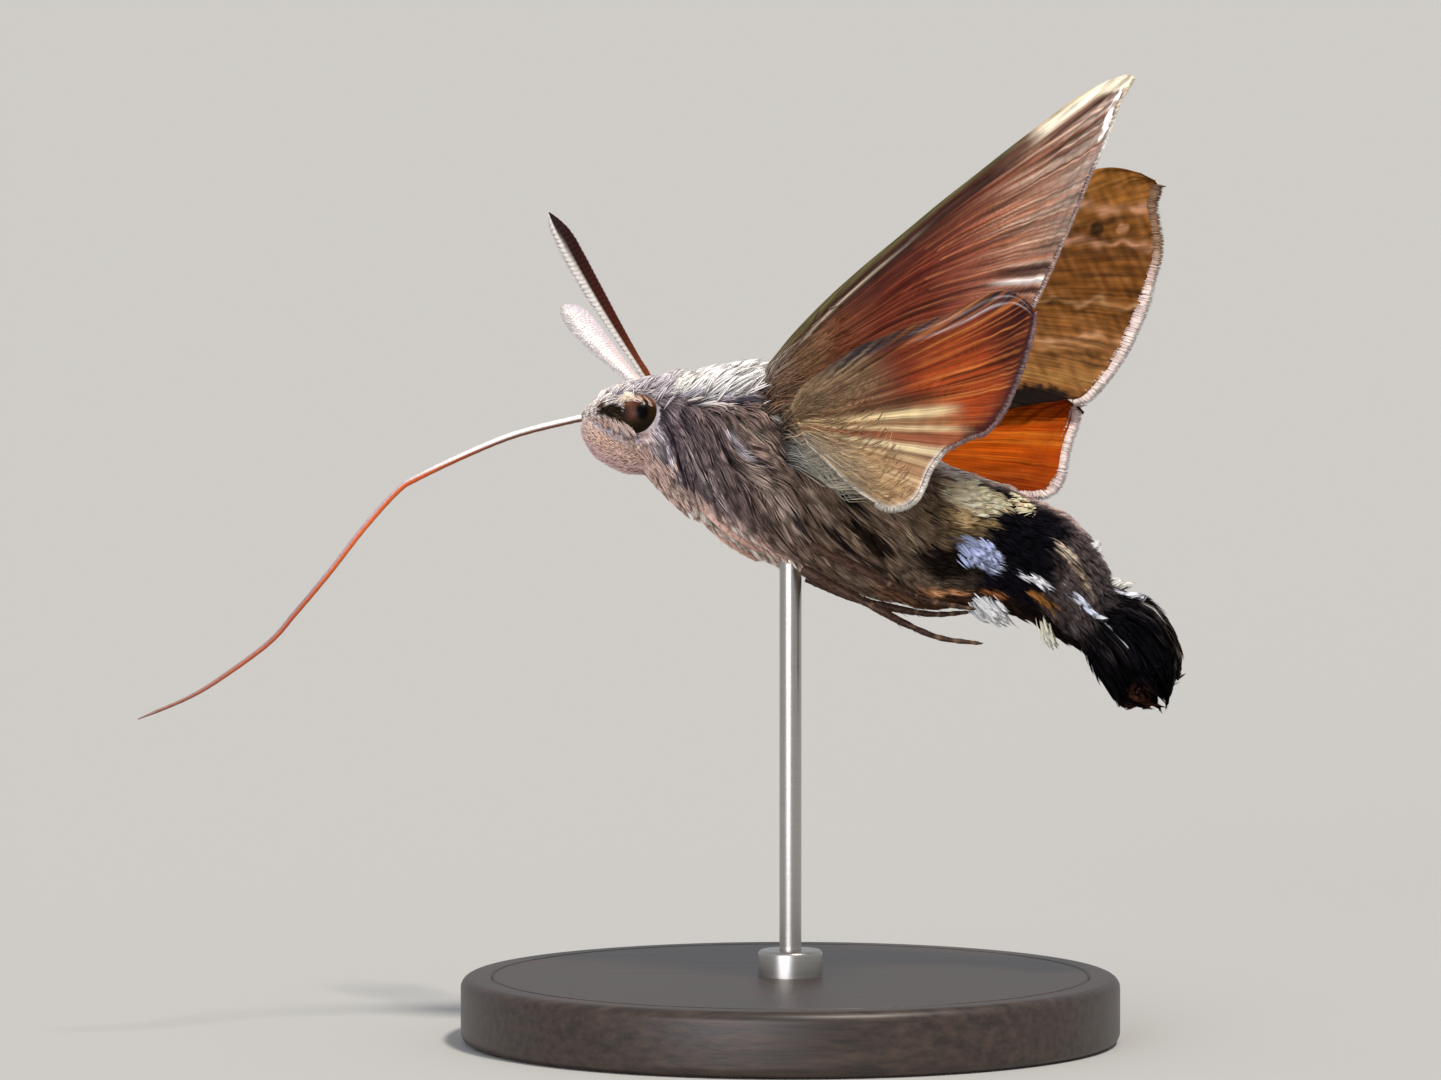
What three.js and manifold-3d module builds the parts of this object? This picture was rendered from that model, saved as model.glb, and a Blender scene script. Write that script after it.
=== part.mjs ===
// Hummingbird hawk moth, life size, hovering on a display stand.
// Millimetres, +Z up. The moth faces -X with its left side towards -Y, and the
// origin is the middle of the stand's underside.
import * as THREE from "three";
import { mergeVertices } from "three/addons/utils/BufferGeometryUtils.js";
import Module from "manifold-3d";

const wasm = await Module();
wasm.setup();

// Overall sizes and places
const GAP = 0.3;
const MERGE_DISTANCE = 1e-4;
const BANK_DEG = 14;
const THORAX_MIDDLE = new THREE.Vector3(-1.36, 1.2, 26.2);
const BASE_RADIUS = 15;
const BASE_HEIGHT = 3;
const BASE_BEVEL = 0.5;
const BASE_SIDES = 36;
const ROD_RADIUS = 0.5;
const ROD_SIDES = 14;
const ROD_TOP = 22.6;
const FERRULE_RADIUS = 1.5;
const FERRULE_HEIGHT = 1.2;

// The body from nose to tail, in the moth's own frame, whose origin is the
// middle of the thorax. Each section: middle x and z, lean in degrees from
// upright, depth and width over the coat.
const TRUNK = [
  [-8.15, 2.1, -4, 0.7, 0.8],
  [-7.7, 2.2, 0, 1.4, 2.2],
  [-7.1, 2.25, 3, 2.4, 3.4],
  [-6.2, 2.15, 2, 3.2, 4.3],
  [-5.2, 1.8, 0, 4.3, 4.8],
  [-4.2, 1.3, -1, 5.6, 5.3],
  [-3.0, 0.8, -4, 6.8, 6.5],
  [-1.5, 0.4, -4, 8.0, 7.4],
  [-0.1, 0.1, -3, 9.0, 7.9],
  [1.3, -0.2, -2, 9.4, 8.0],
  [2.8, -0.8, -1, 9.4, 7.8],
  [4.4, -1.5, 1, 8.8, 7.3],
  [6.1, -2.4, 1, 7.9, 6.7],
  [7.7, -3.2, 4, 6.9, 6.4],
  [9.0, -3.5, 5, 6.2, 6.4],
  [10.5, -3.7, 7, 5.8, 6.4],
  [11.8, -4.2, 11, 5.4, 6.1],
  [13.0, -4.7, 15, 5.3, 5.7],
  [14.0, -5.5, 19, 5.0, 5.1],
  [14.8, -6.3, 22, 4.3, 4.3],
  [15.4, -7.1, 31, 3.4, 3.5],
  [16.2, -7.7, 40, 4.2, 5.0],
  [17.0, -8.6, 45, 4.4, 6.5],
  [17.6, -9.8, 53, 3.9, 7.0],
  [17.9, -10.4, 57, 2.8, 6.2],
  [18.2, -10.9, 58, 0.9, 3.6],
];
const TRUNK_SIDES = 20;
const ROUNDNESS = 2.15;
const NOSE = 0;
const NECK = 5;
const WAIST = 12.6;
const FAN_ROOT = 20;
const TAIL_END = TRUNK.length - 1;
const CUT = 0.11;
const RINGS = { head: 10, thorax: 13, abdomen: 21, fan: 9 };
const ABDOMEN_SEGMENTS = 7;
const SEGMENT_STEP = 0.045;

// Head parts
const EYE = { x: -5.5, y: 1.55, z: 2.05, radius: 0.92, slices: 14, stacks: 10 };
const PALP_ROUTE = [
  [-5.25, 0.78, -0.05],
  [-6.1, 0.78, 0.42],
  [-7.05, 0.72, 0.98],
  [-7.72, 0.6, 1.62],
  [-7.95, 0.5, 2.02],
];
const PALP_RADII = [0.35, 0.72, 0.72, 0.5, 0.25];
const PALP_SIDES = 10;
const PALP_STEPS = 8;

// Antennae: base on the crown, tip in space, radii from base to tip, and how far
// forward they bow at a share of their length
const ANTENNA = {
  left: { base: [-5.25, -0.85, 4.1], tip: [-9.4, -5.75, 10.55] },
  right: { base: [-5.8, 0.85, 4.0], tip: [-8.75, 7.6, 8.7] },
  radii: [0.25, 0.26, 0.29, 0.34, 0.38, 0.38, 0.31, 0.25],
  bow: -0.12,
  bowAt: 0.55,
  sides: 8,
  steps: 10,
};

// Proboscis along the body's middle plane: x and z of its route
const PROBOSCIS_ROUTE = [
  [-8.55, 2.08],
  [-11.1, 1.42],
  [-13.3, 0.52],
  [-15.6, -0.6],
  [-16.5, -1.2],
  [-18.0, -2.9],
  [-19.6, -5.0],
  [-21.1, -6.83],
  [-22.3, -8.2],
  [-24.5, -9.85],
  [-26.0, -10.75],
  [-28.2, -11.7],
];
const PROBOSCIS_RADIUS = 0.26;
const PROBOSCIS_SIDES = 8;
const PROBOSCIS_STEPS = 10;
const PROBOSCIS_CUTS = [0, 0.38, 0.7, 1];
const PROBOSCIS_LENGTH_NAMES = ["base", "middle", "tip"];

// Legs: each route runs from the body outwards. The front pair is folded alike,
// and the other two pairs trail differently on each side.
const LEG_RADIUS = 0.27;
const LEG_SIDES = 6;
const LEG_STEPS = 9;
const FRONT_LEG = [
  [-3.7, 1.2, -0.9],
  [-2.6, 1.35, -2.2],
  [-1.4, 1.4, -3.35],
  [-0.1, 1.3, -4.2],
];
const LEG_ROUTES = {
  front_left: FRONT_LEG.map(([x, y, z]) => [x, -y, z]),
  front_right: FRONT_LEG,
  middle_left: [
    [2.3, -2.7, -4.2],
    [4.9, -2.35, -5.5],
    [6.3, -2.1, -6.2],
    [7.6, -1.95, -6.75],
    [9.7, -1.9, -7.1],
  ],
  middle_right: [
    [2.3, 2.6, -4.1],
    [4.9, 2.2, -5.1],
    [6.4, 2.0, -5.7],
    [7.8, 1.8, -6.15],
    [9.4, 1.7, -6.35],
  ],
  hind_left: [
    [1.9, -1.2, -5.0],
    [3.5, -1.4, -5.95],
    [5.0, -1.6, -6.75],
    [6.5, -1.8, -7.6],
    [8.1, -2.0, -8.3],
    [10.0, -2.2, -8.6],
  ],
  hind_right: [
    [2.1, 1.0, -5.0],
    [4.2, 0.9, -5.95],
    [6.0, 0.8, -6.45],
    [7.8, 0.75, -6.75],
    [9.5, 0.8, -6.65],
  ],
};

// Wings: span s from root to tip, chord c backwards from the middle of the root.
// The stations along the span stand closer together towards the tip.
const WING_THICKNESS = 0.5;
const WING_CHORD_STEPS = 6;
const STATION_CROWDING = 1.3;
const HINGE_LINE = -1.8;
const TWIST_GROWTH = 1.85;
const FOREWING = {
  offset: 0,
  front: [
    [0.2, -0.75],
    [2, -1.2],
    [5, -1.65],
    [10, -1.85],
    [15, -1.8],
    [19, -1.5],
    [21, -1.0],
    [22.0, -0.5],
    [22.5, -0.05],
  ],
  rear: [
    [0.2, 1.6],
    [4, 4.0],
    [8, 5.9],
    [11.5, 7.3],
    [12.4, 7.9],
    [13.5, 7.65],
    [15, 7.0],
    [17, 5.7],
    [19, 4.1],
    [21, 1.9],
    [22.0, 0.7],
    [22.5, 0.12],
  ],
  spanSteps: 23,
};
const HINDWING = {
  offset: -(WING_THICKNESS + GAP),
  front: [
    [0.5, 2.4],
    [1.4, 1.9],
    [4, 2.2],
    [8, 3.6],
    [11, 4.8],
    [12.5, 5.8],
    [13.1, 6.9],
  ],
  rear: [
    [0.5, 4.4],
    [1.8, 8.3],
    [2.8, 10.0],
    [3.9, 10.5],
    [5.3, 10.0],
    [6.5, 10.0],
    [7.9, 10.5],
    [9.6, 10.2],
    [11.2, 9.4],
    [12.5, 8.2],
    [13.1, 7.3],
  ],
  spanSteps: 18,
};
// Each wing pair's root, its turns in degrees, its twist towards the tip, and
// how far the hindwing's inner corner is tucked under beside the body
const WING_POSE = {
  left: { root: [0.55, -3.1, 3.4], sweep: 48, stroke: 49.2, pitch: 59, twist: 34, tuck: 0 },
  right: { root: [0.65, -2.75, 3.9], sweep: 51.4, stroke: 56.6, pitch: 20, twist: 0, tuck: 1.7 },
};
// How far each hindwing is drawn out along span and chord, as the two beat apart
const HIND_STRETCH = {
  left: { span: 1.1, chord: 1.055 },
  right: { span: 0.96, chord: 1 },
};
const TUCK_START = 4;
const TUCK_SPAN = 8;
const TUCK_REACH = 6;
const TUCK_GROWTH = 1.5;

// Colour in sRGB hex, roughness, and metalness where it is metal
const FINISH = {
  grey_coat: ["#7a6458", 0.9],
  pale_coat: ["#c8ab9c", 0.9],
  dark_coat: ["#2b2524", 0.9],
  black_fan: ["#141215", 0.85],
  eye: ["#4a2a16", 0.25],
  antenna: ["#3a1408", 0.5],
  proboscis: ["#a85a28", 0.4],
  forewing: ["#6a3a26", 0.75],
  hindwing: ["#b8541c", 0.75],
  leg: ["#2e221c", 0.6],
  wood: ["#2a2320", 0.45],
  steel: ["#8d8a86", 0.35, 0.9],
};

const rad = THREE.MathUtils.degToRad;

// A smooth run through rows of three or fewer numbers, read at row number t
function rowCurve(rows) {
  const points = rows.map((row) => new THREE.Vector3(row[0], row[1], row[2] ?? 0));
  const curve = new THREE.CatmullRomCurve3(points, false, "catmullrom");
  return (t) => curve.getPoint(t / (rows.length - 1));
}

// Height of a curve given by [s, c] rows, at s, without overshoot
function edgeAt(rows, s) {
  const last = rows.length - 1;
  const first = rows.findIndex((row) => row[0] > s);
  const i = first < 0 ? last - 1 : Math.max(first - 1, 0);
  const slope = (k) => (rows[k + 1][1] - rows[k][1]) / (rows[k + 1][0] - rows[k][0]);
  const tangent = (k) => {
    if (k === 0) return slope(0);
    if (k === last) return slope(last - 1);
    const product = slope(k - 1) * slope(k);
    return product <= 0 ? 0 : (2 * product) / (slope(k - 1) + slope(k));
  };
  const width = rows[i + 1][0] - rows[i][0];
  const u = THREE.MathUtils.clamp((s - rows[i][0]) / width, 0, 1);
  const rise = rows[i + 1][1] - rows[i][1];
  const ease = u * u * (3 - 2 * u);
  const start = u * (1 - u) * (1 - u) * width * tangent(i);
  const end = u * u * (u - 1) * width * tangent(i + 1);
  return rows[i][1] + ease * rise + start + end;
}

// A closed solid through rings of equal point counts, capped at both ends
function loft(rings) {
  const count = rings[0].length;
  const points = rings.flat();
  const index = [];
  for (let r = 0; r < rings.length - 1; r++) {
    for (let i = 0; i < count; i++) {
      const a = r * count + i;
      const b = r * count + ((i + 1) % count);
      index.push(a, b, b + count, a, b + count, a + count);
    }
  }
  for (const [ring, start, turned] of [
    [rings[0], 0, true],
    [rings.at(-1), (rings.length - 1) * count, false],
  ]) {
    const middle = ring.reduce((sum, p) => sum.add(p), new THREE.Vector3());
    const hub = points.push(middle.divideScalar(count)) - 1;
    for (let i = 0; i < count; i++) {
      const a = start + i;
      const b = start + ((i + 1) % count);
      index.push(hub, turned ? b : a, turned ? a : b);
    }
  }
  const geometry = new THREE.BufferGeometry().setFromPoints(points);
  geometry.setIndex(index);
  return outward(geometry);
}

// The same geometry with its faces turned so that its volume is positive
function outward(geometry) {
  const at = geometry.getAttribute("position");
  const index = geometry.getIndex().array;
  const [a, b, c] = [new THREE.Vector3(), new THREE.Vector3(), new THREE.Vector3()];
  let volume = 0;
  for (let i = 0; i < index.length; i += 3) {
    a.fromBufferAttribute(at, index[i]);
    b.fromBufferAttribute(at, index[i + 1]);
    c.fromBufferAttribute(at, index[i + 2]);
    volume += a.dot(b.cross(c));
  }
  if (volume < 0) {
    for (let i = 0; i < index.length; i += 3) {
      [index[i + 1], index[i + 2]] = [index[i + 2], index[i + 1]];
    }
  }
  return geometry;
}

// A tapering tube along a route: radii run from the route's start to its end
function taperedTube(route, radii, sides, steps) {
  const curve = new THREE.CatmullRomCurve3(route);
  const frames = curve.computeFrenetFrames(steps, false);
  const radiusAt = (t) => {
    const place = t * (radii.length - 1);
    const i = Math.min(Math.floor(place), radii.length - 2);
    return THREE.MathUtils.lerp(radii[i], radii[i + 1], place - i);
  };
  const rings = [];
  for (let k = 0; k <= steps; k++) {
    const middle = curve.getPointAt(k / steps);
    const radius = radiusAt(k / steps);
    rings.push(
      Array.from({ length: sides }, (_, i) => {
        const turn = (2 * Math.PI * i) / sides;
        return middle
          .clone()
          .addScaledVector(frames.normals[k], radius * Math.cos(turn))
          .addScaledVector(frames.binormals[k], radius * Math.sin(turn));
      }),
    );
  }
  return loft(rings);
}

const vectors = (rows) => rows.map((row) => new THREE.Vector3(...row));

// A closed mesh as a solid that can be cut
function solid(geometry) {
  const bare = geometry.clone();
  bare.deleteAttribute("normal");
  bare.deleteAttribute("uv");
  const merged = mergeVertices(bare, MERGE_DISTANCE);
  return new wasm.Manifold(
    new wasm.Mesh({
      numProp: 3,
      vertProperties: new Float32Array(merged.getAttribute("position").array),
      triVerts: new Uint32Array(merged.getIndex().array),
    }),
  );
}

// One geometry cut by others
function cutBy(geometry, tools) {
  let body = solid(geometry);
  for (const tool of tools) body = body.subtract(solid(tool));
  const mesh = body.getMesh();
  const result = new THREE.BufferGeometry();
  result.setAttribute("position", new THREE.BufferAttribute(mesh.vertProperties, 3));
  result.setIndex(new THREE.BufferAttribute(mesh.triVerts, 1));
  return result;
}

// The body: one loft, parted by thin cuts at the neck, waist and fan root
const trunkPlace = rowCurve(TRUNK.map(([x, z, lean]) => [x, z, lean]));
const trunkSize = rowCurve(TRUNK.map(([, , , depth, width]) => [depth, width]));

// The abdomen's rings overlap like roof tiles, each widest at its rear edge
function segmentSwell(t) {
  if (t <= WAIST || t >= FAN_ROOT) return 1;
  const along = ((t - WAIST) / (FAN_ROOT - WAIST)) * ABDOMEN_SEGMENTS;
  return 1 + SEGMENT_STEP * (2 * (along % 1) - 1);
}

function trunkRing(t) {
  const place = trunkPlace(t);
  const size = trunkSize(t);
  const lean = rad(place.z);
  const power = 2 / ROUNDNESS;
  const bulge = (v) => Math.sign(v) * Math.abs(v) ** power;
  return Array.from({ length: TRUNK_SIDES }, (_, i) => {
    const turn = (2 * Math.PI * i) / TRUNK_SIDES;
    const up = (size.x / 2) * bulge(Math.sin(turn));
    const side = (size.y / 2) * bulge(Math.cos(turn)) * segmentSwell(t);
    return new THREE.Vector3(place.x + up * Math.sin(lean), side, place.y + up * Math.cos(lean));
  });
}

function trunkPiece(from, to, rings) {
  const step = (to - from) / rings;
  return loft(Array.from({ length: rings + 1 }, (_, k) => trunkRing(from + k * step)));
}

// A wing's middle surface and its upward normal, in the moth's frame
function wingFrame(side) {
  const pose = WING_POSE[side];
  const turn = new THREE.Matrix4()
    .makeRotationX(-rad(pose.stroke))
    .multiply(new THREE.Matrix4().makeRotationZ(rad(pose.sweep)))
    .multiply(new THREE.Matrix4().makeRotationY(rad(pose.pitch)));
  return { ...pose, turn, root: new THREE.Vector3(...pose.root) };
}

function wingPoint(frame, span, s, c, lift) {
  const twist = rad(frame.twist) * (Math.max(s, 0) / span) ** TWIST_GROWTH;
  const back = c - HINGE_LINE;
  const tuckedBack = Math.max(c - TUCK_START, 0) / TUCK_REACH;
  const nearBody = Math.max(1 - s / TUCK_SPAN, 0);
  const drop = frame.tuck * tuckedBack ** TUCK_GROWTH * nearBody;
  const x = HINGE_LINE + back * Math.cos(twist) + (lift - drop) * Math.sin(twist);
  const z = -back * Math.sin(twist) + (lift - drop) * Math.cos(twist);
  return new THREE.Vector3(x, -s, z).applyMatrix4(frame.turn).add(frame.root);
}

// A wing as a thin solid between its front and rear edges; grow widens it all round
function wing(side, plan, grow = 0) {
  const frame = wingFrame(side);
  const stretch = plan === HINDWING ? HIND_STRETCH[side] : { span: 1, chord: 1 };
  const span = FOREWING.front.at(-1)[0];
  const [first, last] = [plan.front[0][0], plan.front.at(-1)[0]];
  const rings = [];
  for (let k = 0; k <= plan.spanSteps; k++) {
    const share = 1 - (1 - k / plan.spanSteps) ** STATION_CROWDING;
    const s = THREE.MathUtils.lerp(first - grow, last + grow, share);
    const front = edgeAt(plan.front, s) - grow;
    const rear = edgeAt(plan.rear, s) + grow;
    const row = (lift) =>
      Array.from({ length: WING_CHORD_STEPS + 1 }, (_, j) => {
        const c = THREE.MathUtils.lerp(front, rear, j / WING_CHORD_STEPS) * stretch.chord;
        return wingPoint(frame, span, s * stretch.span, c, plan.offset + lift);
      });
    const half = WING_THICKNESS / 2 + grow;
    const ring = [...row(half), ...row(-half).reverse()];
    if (side === "right") ring.forEach((p) => p.setY(-p.y));
    rings.push(ring);
  }
  return loft(rings);
}

// Head parts
const SIDES = { left: -1, right: 1 };

function eye(side, grow = 0) {
  const sphere = new THREE.SphereGeometry(EYE.radius + grow, EYE.slices, EYE.stacks);
  return sphere.translate(EYE.x, EYE.y * SIDES[side], EYE.z);
}

function palp(side, grow = 0) {
  const route = vectors(PALP_ROUTE.map(([x, y, z]) => [x, y * SIDES[side], z]));
  const radii = PALP_RADII.map((radius) => radius + grow);
  return taperedTube(route, radii, PALP_SIDES, PALP_STEPS);
}

function antenna(side) {
  const base = new THREE.Vector3(...ANTENNA[side].base);
  const tip = new THREE.Vector3(...ANTENNA[side].tip);
  const middle = base.clone().lerp(tip, ANTENNA.bowAt);
  middle.x += ANTENNA.bow;
  return taperedTube([base, middle, tip], ANTENNA.radii, ANTENNA.sides, ANTENNA.steps);
}

// One length of the proboscis, between two shares of its whole route
function proboscisLength(from, to) {
  const whole = new THREE.CatmullRomCurve3(vectors(PROBOSCIS_ROUTE.map(([x, z]) => [x, 0, z])));
  const spare = GAP / 2 / whole.getLength();
  const start = from === 0 ? 0 : from + spare;
  const end = to === 1 ? 1 : to - spare;
  const route = Array.from({ length: PROBOSCIS_STEPS + 1 }, (_, k) =>
    whole.getPointAt(THREE.MathUtils.lerp(start, end, k / PROBOSCIS_STEPS)),
  );
  const radii = [PROBOSCIS_RADIUS, PROBOSCIS_RADIUS];
  return taperedTube(route, radii, PROBOSCIS_SIDES, PROBOSCIS_STEPS);
}

function leg(name, grow = 0) {
  const radius = LEG_RADIUS + grow;
  return taperedTube(vectors(LEG_ROUTES[name]), [radius, radius], LEG_SIDES, LEG_STEPS);
}

// The display stand
function standBase() {
  const profile = [
    [0, 0],
    [BASE_RADIUS - BASE_BEVEL, 0],
    [BASE_RADIUS, BASE_BEVEL],
    [BASE_RADIUS, BASE_HEIGHT - BASE_BEVEL],
    [BASE_RADIUS - BASE_BEVEL, BASE_HEIGHT],
    [0, BASE_HEIGHT],
  ].map(([r, z]) => new THREE.Vector2(r, z));
  return new THREE.LatheGeometry(profile, BASE_SIDES).rotateX(Math.PI / 2);
}

function standRod(grow = 0) {
  const profile = [
    [0, BASE_HEIGHT],
    [FERRULE_RADIUS + grow, BASE_HEIGHT],
    [FERRULE_RADIUS + grow, BASE_HEIGHT + FERRULE_HEIGHT],
    [ROD_RADIUS + grow, BASE_HEIGHT + FERRULE_HEIGHT],
    [ROD_RADIUS + grow, ROD_TOP + grow],
    [0, ROD_TOP + grow],
  ].map(([r, z]) => new THREE.Vector2(r, z));
  return new THREE.LatheGeometry(profile, ROD_SIDES).rotateX(Math.PI / 2);
}

// The assembly
const display = new THREE.Group();
const moth = new THREE.Group();
moth.position.copy(THORAX_MIDDLE);
moth.rotation.x = -rad(BANK_DEG);
moth.updateMatrixWorld(true);
display.add(moth);

function add(group, name, geometry, finish) {
  const [color, roughness, metalness = 0] = FINISH[finish];
  const material = new THREE.MeshStandardMaterial({ color, roughness, metalness });
  const mesh = new THREE.Mesh(geometry, material);
  mesh.name = name;
  group.add(mesh);
}

const bothSides = Object.keys(SIDES);
const legNames = Object.keys(LEG_ROUTES);
const legGrooves = legNames.map((name) => leg(name, GAP));
const wingSlots = bothSides.flatMap((side) => [wing(side, FOREWING, GAP), wing(side, HINDWING, GAP)]);
const rodSocket = standRod(GAP).applyMatrix4(moth.matrixWorld.clone().invert());
const headHollows = bothSides.flatMap((side) => [eye(side, GAP), palp(side, GAP)]);

const head = trunkPiece(NOSE, NECK - CUT, RINGS.head);
const thorax = trunkPiece(NECK + CUT, WAIST - CUT, RINGS.thorax);
const abdomen = trunkPiece(WAIST + CUT, FAN_ROOT - CUT, RINGS.abdomen);
add(moth, "head", cutBy(head, headHollows), "pale_coat");
add(moth, "thorax", cutBy(thorax, [...wingSlots, ...legGrooves, rodSocket]), "grey_coat");
add(moth, "abdomen", cutBy(abdomen, [...wingSlots, ...legGrooves]), "dark_coat");
add(moth, "tail_fan", trunkPiece(FAN_ROOT + CUT, TAIL_END, RINGS.fan), "black_fan");
for (const side of bothSides) {
  add(moth, `eye_${side}`, eye(side), "eye");
  add(moth, `palp_${side}`, palp(side), "pale_coat");
  add(moth, `antenna_${side}`, antenna(side), "antenna");
  add(moth, `forewing_${side}`, wing(side, FOREWING), "forewing");
  add(moth, `hindwing_${side}`, wing(side, HINDWING), "hindwing");
}
PROBOSCIS_LENGTH_NAMES.forEach((name, i) => {
  const length = proboscisLength(PROBOSCIS_CUTS[i], PROBOSCIS_CUTS[i + 1]);
  add(moth, `proboscis_${name}`, length, "proboscis");
});
for (const name of legNames) add(moth, `leg_${name}`, leg(name), "leg");
add(display, "stand_base", standBase(), "wood");
add(display, "stand_rod", standRod(), "steel");

export default display;
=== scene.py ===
"""Looks of a life-size hummingbird hawk moth held in flight over its display stand.

The moth's shapes are worked out in millimetres in its own frame, whose origin is the
middle of the thorax, with +X towards the tail and the left side towards -Y. They are
banked into the model's frame, in metres, when a mesh is finished.
"""
import logging
import math
from dataclasses import dataclass, field
from enum import Enum
from typing import Any, Callable, Sequence

import bmesh
import bpy
import numpy as np
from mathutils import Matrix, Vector
from mathutils.kdtree import KDTree


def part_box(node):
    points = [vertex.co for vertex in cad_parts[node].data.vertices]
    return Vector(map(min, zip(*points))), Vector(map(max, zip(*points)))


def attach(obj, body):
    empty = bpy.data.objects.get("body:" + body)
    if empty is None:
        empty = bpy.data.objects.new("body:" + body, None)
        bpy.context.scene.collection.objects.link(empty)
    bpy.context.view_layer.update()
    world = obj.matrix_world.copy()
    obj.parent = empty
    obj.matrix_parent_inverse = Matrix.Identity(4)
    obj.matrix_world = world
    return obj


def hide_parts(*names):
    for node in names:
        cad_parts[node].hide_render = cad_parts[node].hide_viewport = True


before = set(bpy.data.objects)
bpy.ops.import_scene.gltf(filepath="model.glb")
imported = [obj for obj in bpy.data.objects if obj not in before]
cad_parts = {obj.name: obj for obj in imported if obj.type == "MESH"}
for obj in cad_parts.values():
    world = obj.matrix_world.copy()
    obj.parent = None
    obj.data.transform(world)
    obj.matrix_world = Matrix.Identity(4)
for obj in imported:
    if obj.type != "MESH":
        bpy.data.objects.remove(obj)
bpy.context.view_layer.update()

LOG = logging.getLogger("moth")
Array = np.ndarray
Rows = Sequence[Sequence[float]]
Two = tuple[float, float]
Arrays = tuple[Array, Array]

MM = 0.001
BANK = math.radians(14)
THORAX_MIDDLE = np.array([-1.36, 1.2, 26.2])
SEED = 7


def to_model(points: Array) -> Array:
    """Banks points from the moth's frame into the model's frame.

    Args:
        points: Places in the moth's frame, in mm, one row each.

    Returns:
        The same places in the model's frame, in metres.
    """
    x, y, z = np.asarray(points, float).T
    up = z * math.cos(BANK) - y * math.sin(BANK)
    across = y * math.cos(BANK) + z * math.sin(BANK)
    return (np.column_stack((x, across, up)) + THORAX_MIDDLE) * MM


def linear(code: str) -> Array:
    """Turns an sRGB hex colour into linear red, green and blue."""
    shares = np.array([int(code[i:i + 2], 16) / 255 for i in (1, 3, 5)])
    return np.where(shares <= 0.04045, shares / 12.92, ((shares + 0.055) / 1.055) ** 2.4)


def gradient(stops: Sequence[tuple[float, str]], values: Array) -> Array:
    """Blends a run of hex colours over a running number.

    Args:
        stops: Places and their colours, in rising order.
        values: The numbers to read the run at.

    Returns:
        One linear colour a row.
    """
    places = [place for place, _ in stops]
    colours = np.array([linear(code) for _, code in stops])
    return np.column_stack([np.interp(values, places, colours[:, k]) for k in range(3)])


def ramp(low: float, high: float, values: Array) -> Array:
    """Rises smoothly from 0 at low to 1 at high."""
    share = np.clip((np.asarray(values, float) - low) / (high - low), 0, 1)
    return share * share * (3 - 2 * share)


def fall(low: float, high: float, values: Array) -> Array:
    """Falls smoothly from 1 at low to 0 at high."""
    return 1 - ramp(low, high, values)


def bell(middle: float, width: float, values: Array) -> Array:
    """Is 1 at the middle and fades out smoothly on both sides."""
    return np.exp(-(((values - middle) / width) ** 2))


def run(rows: Rows, values: Array) -> Array:
    """Reads a table of places and sizes with straight stretches between its rows."""
    return np.interp(values, [row[0] for row in rows], [row[1] for row in rows])


def mixed(colours: Array, code: str, weight: Array) -> Array:
    """Blends one hex colour into rows of colours by a weight for each row."""
    return colours + (linear(code) - colours) * np.asarray(weight)[:, None]


def layered(colours: Array, *coats: tuple[str, Array]) -> Array:
    """Blends hex colours into rows of colours one after another, each by its weights.

    Args:
        colours: Colours, one row each.
        coats: A code and weights for each coat.

    Returns:
        The mixed colours.
    """
    for code, weight in coats:
        colours = mixed(colours, code, weight)
    return colours


def tones(rng: Any, spread: float, count: int) -> Array:
    """Random shades round 1, one a row."""
    return np.exp(rng.normal(0, spread, count))[:, None]


def ripple(points: Array, wavelength: float, seed: int) -> Array:
    """Smooth seeded noise made of a few waves in random directions.

    Args:
        points: Places in two or three dimensions, one row each.
        wavelength: The waves' mean length, in the points' unit.
        seed: Number of the noise.

    Returns:
        Values of about -1 to 1.
    """
    rng = np.random.default_rng(seed)
    total = np.zeros(len(points))
    waves = 9
    for _ in range(waves):
        heading = rng.normal(size=points.shape[1])
        heading /= np.linalg.norm(heading)
        pitch = 2 * math.pi / (wavelength * rng.uniform(0.6, 1.6))
        total += np.sin(points @ heading * pitch + rng.uniform(0, 2 * math.pi))
    return total / math.sqrt(waves)


def curve_through(rows: Rows, place: Array) -> Array:
    """Reads a smooth curve that passes through rows of numbers.

    Args:
        rows: The rows it passes through.
        place: Row numbers, whole or between, to read it at.

    Returns:
        One row of numbers for each place.
    """
    rows = np.asarray(rows, float)
    rows = np.vstack([2 * rows[0] - rows[1], rows, 2 * rows[-1] - rows[-2]])
    place = np.clip(np.asarray(place, float), 0, len(rows) - 3)
    first = np.clip(np.floor(place).astype(int), 0, len(rows) - 4)
    u = (place - first)[..., None]
    a, b, c, d = (rows[first + k] for k in range(4))
    return 0.5 * (2 * b + (c - a) * u + (2 * a - 5 * b + 4 * c - d) * u**2 + (3 * b - a - 3 * c + d) * u**3)


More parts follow.
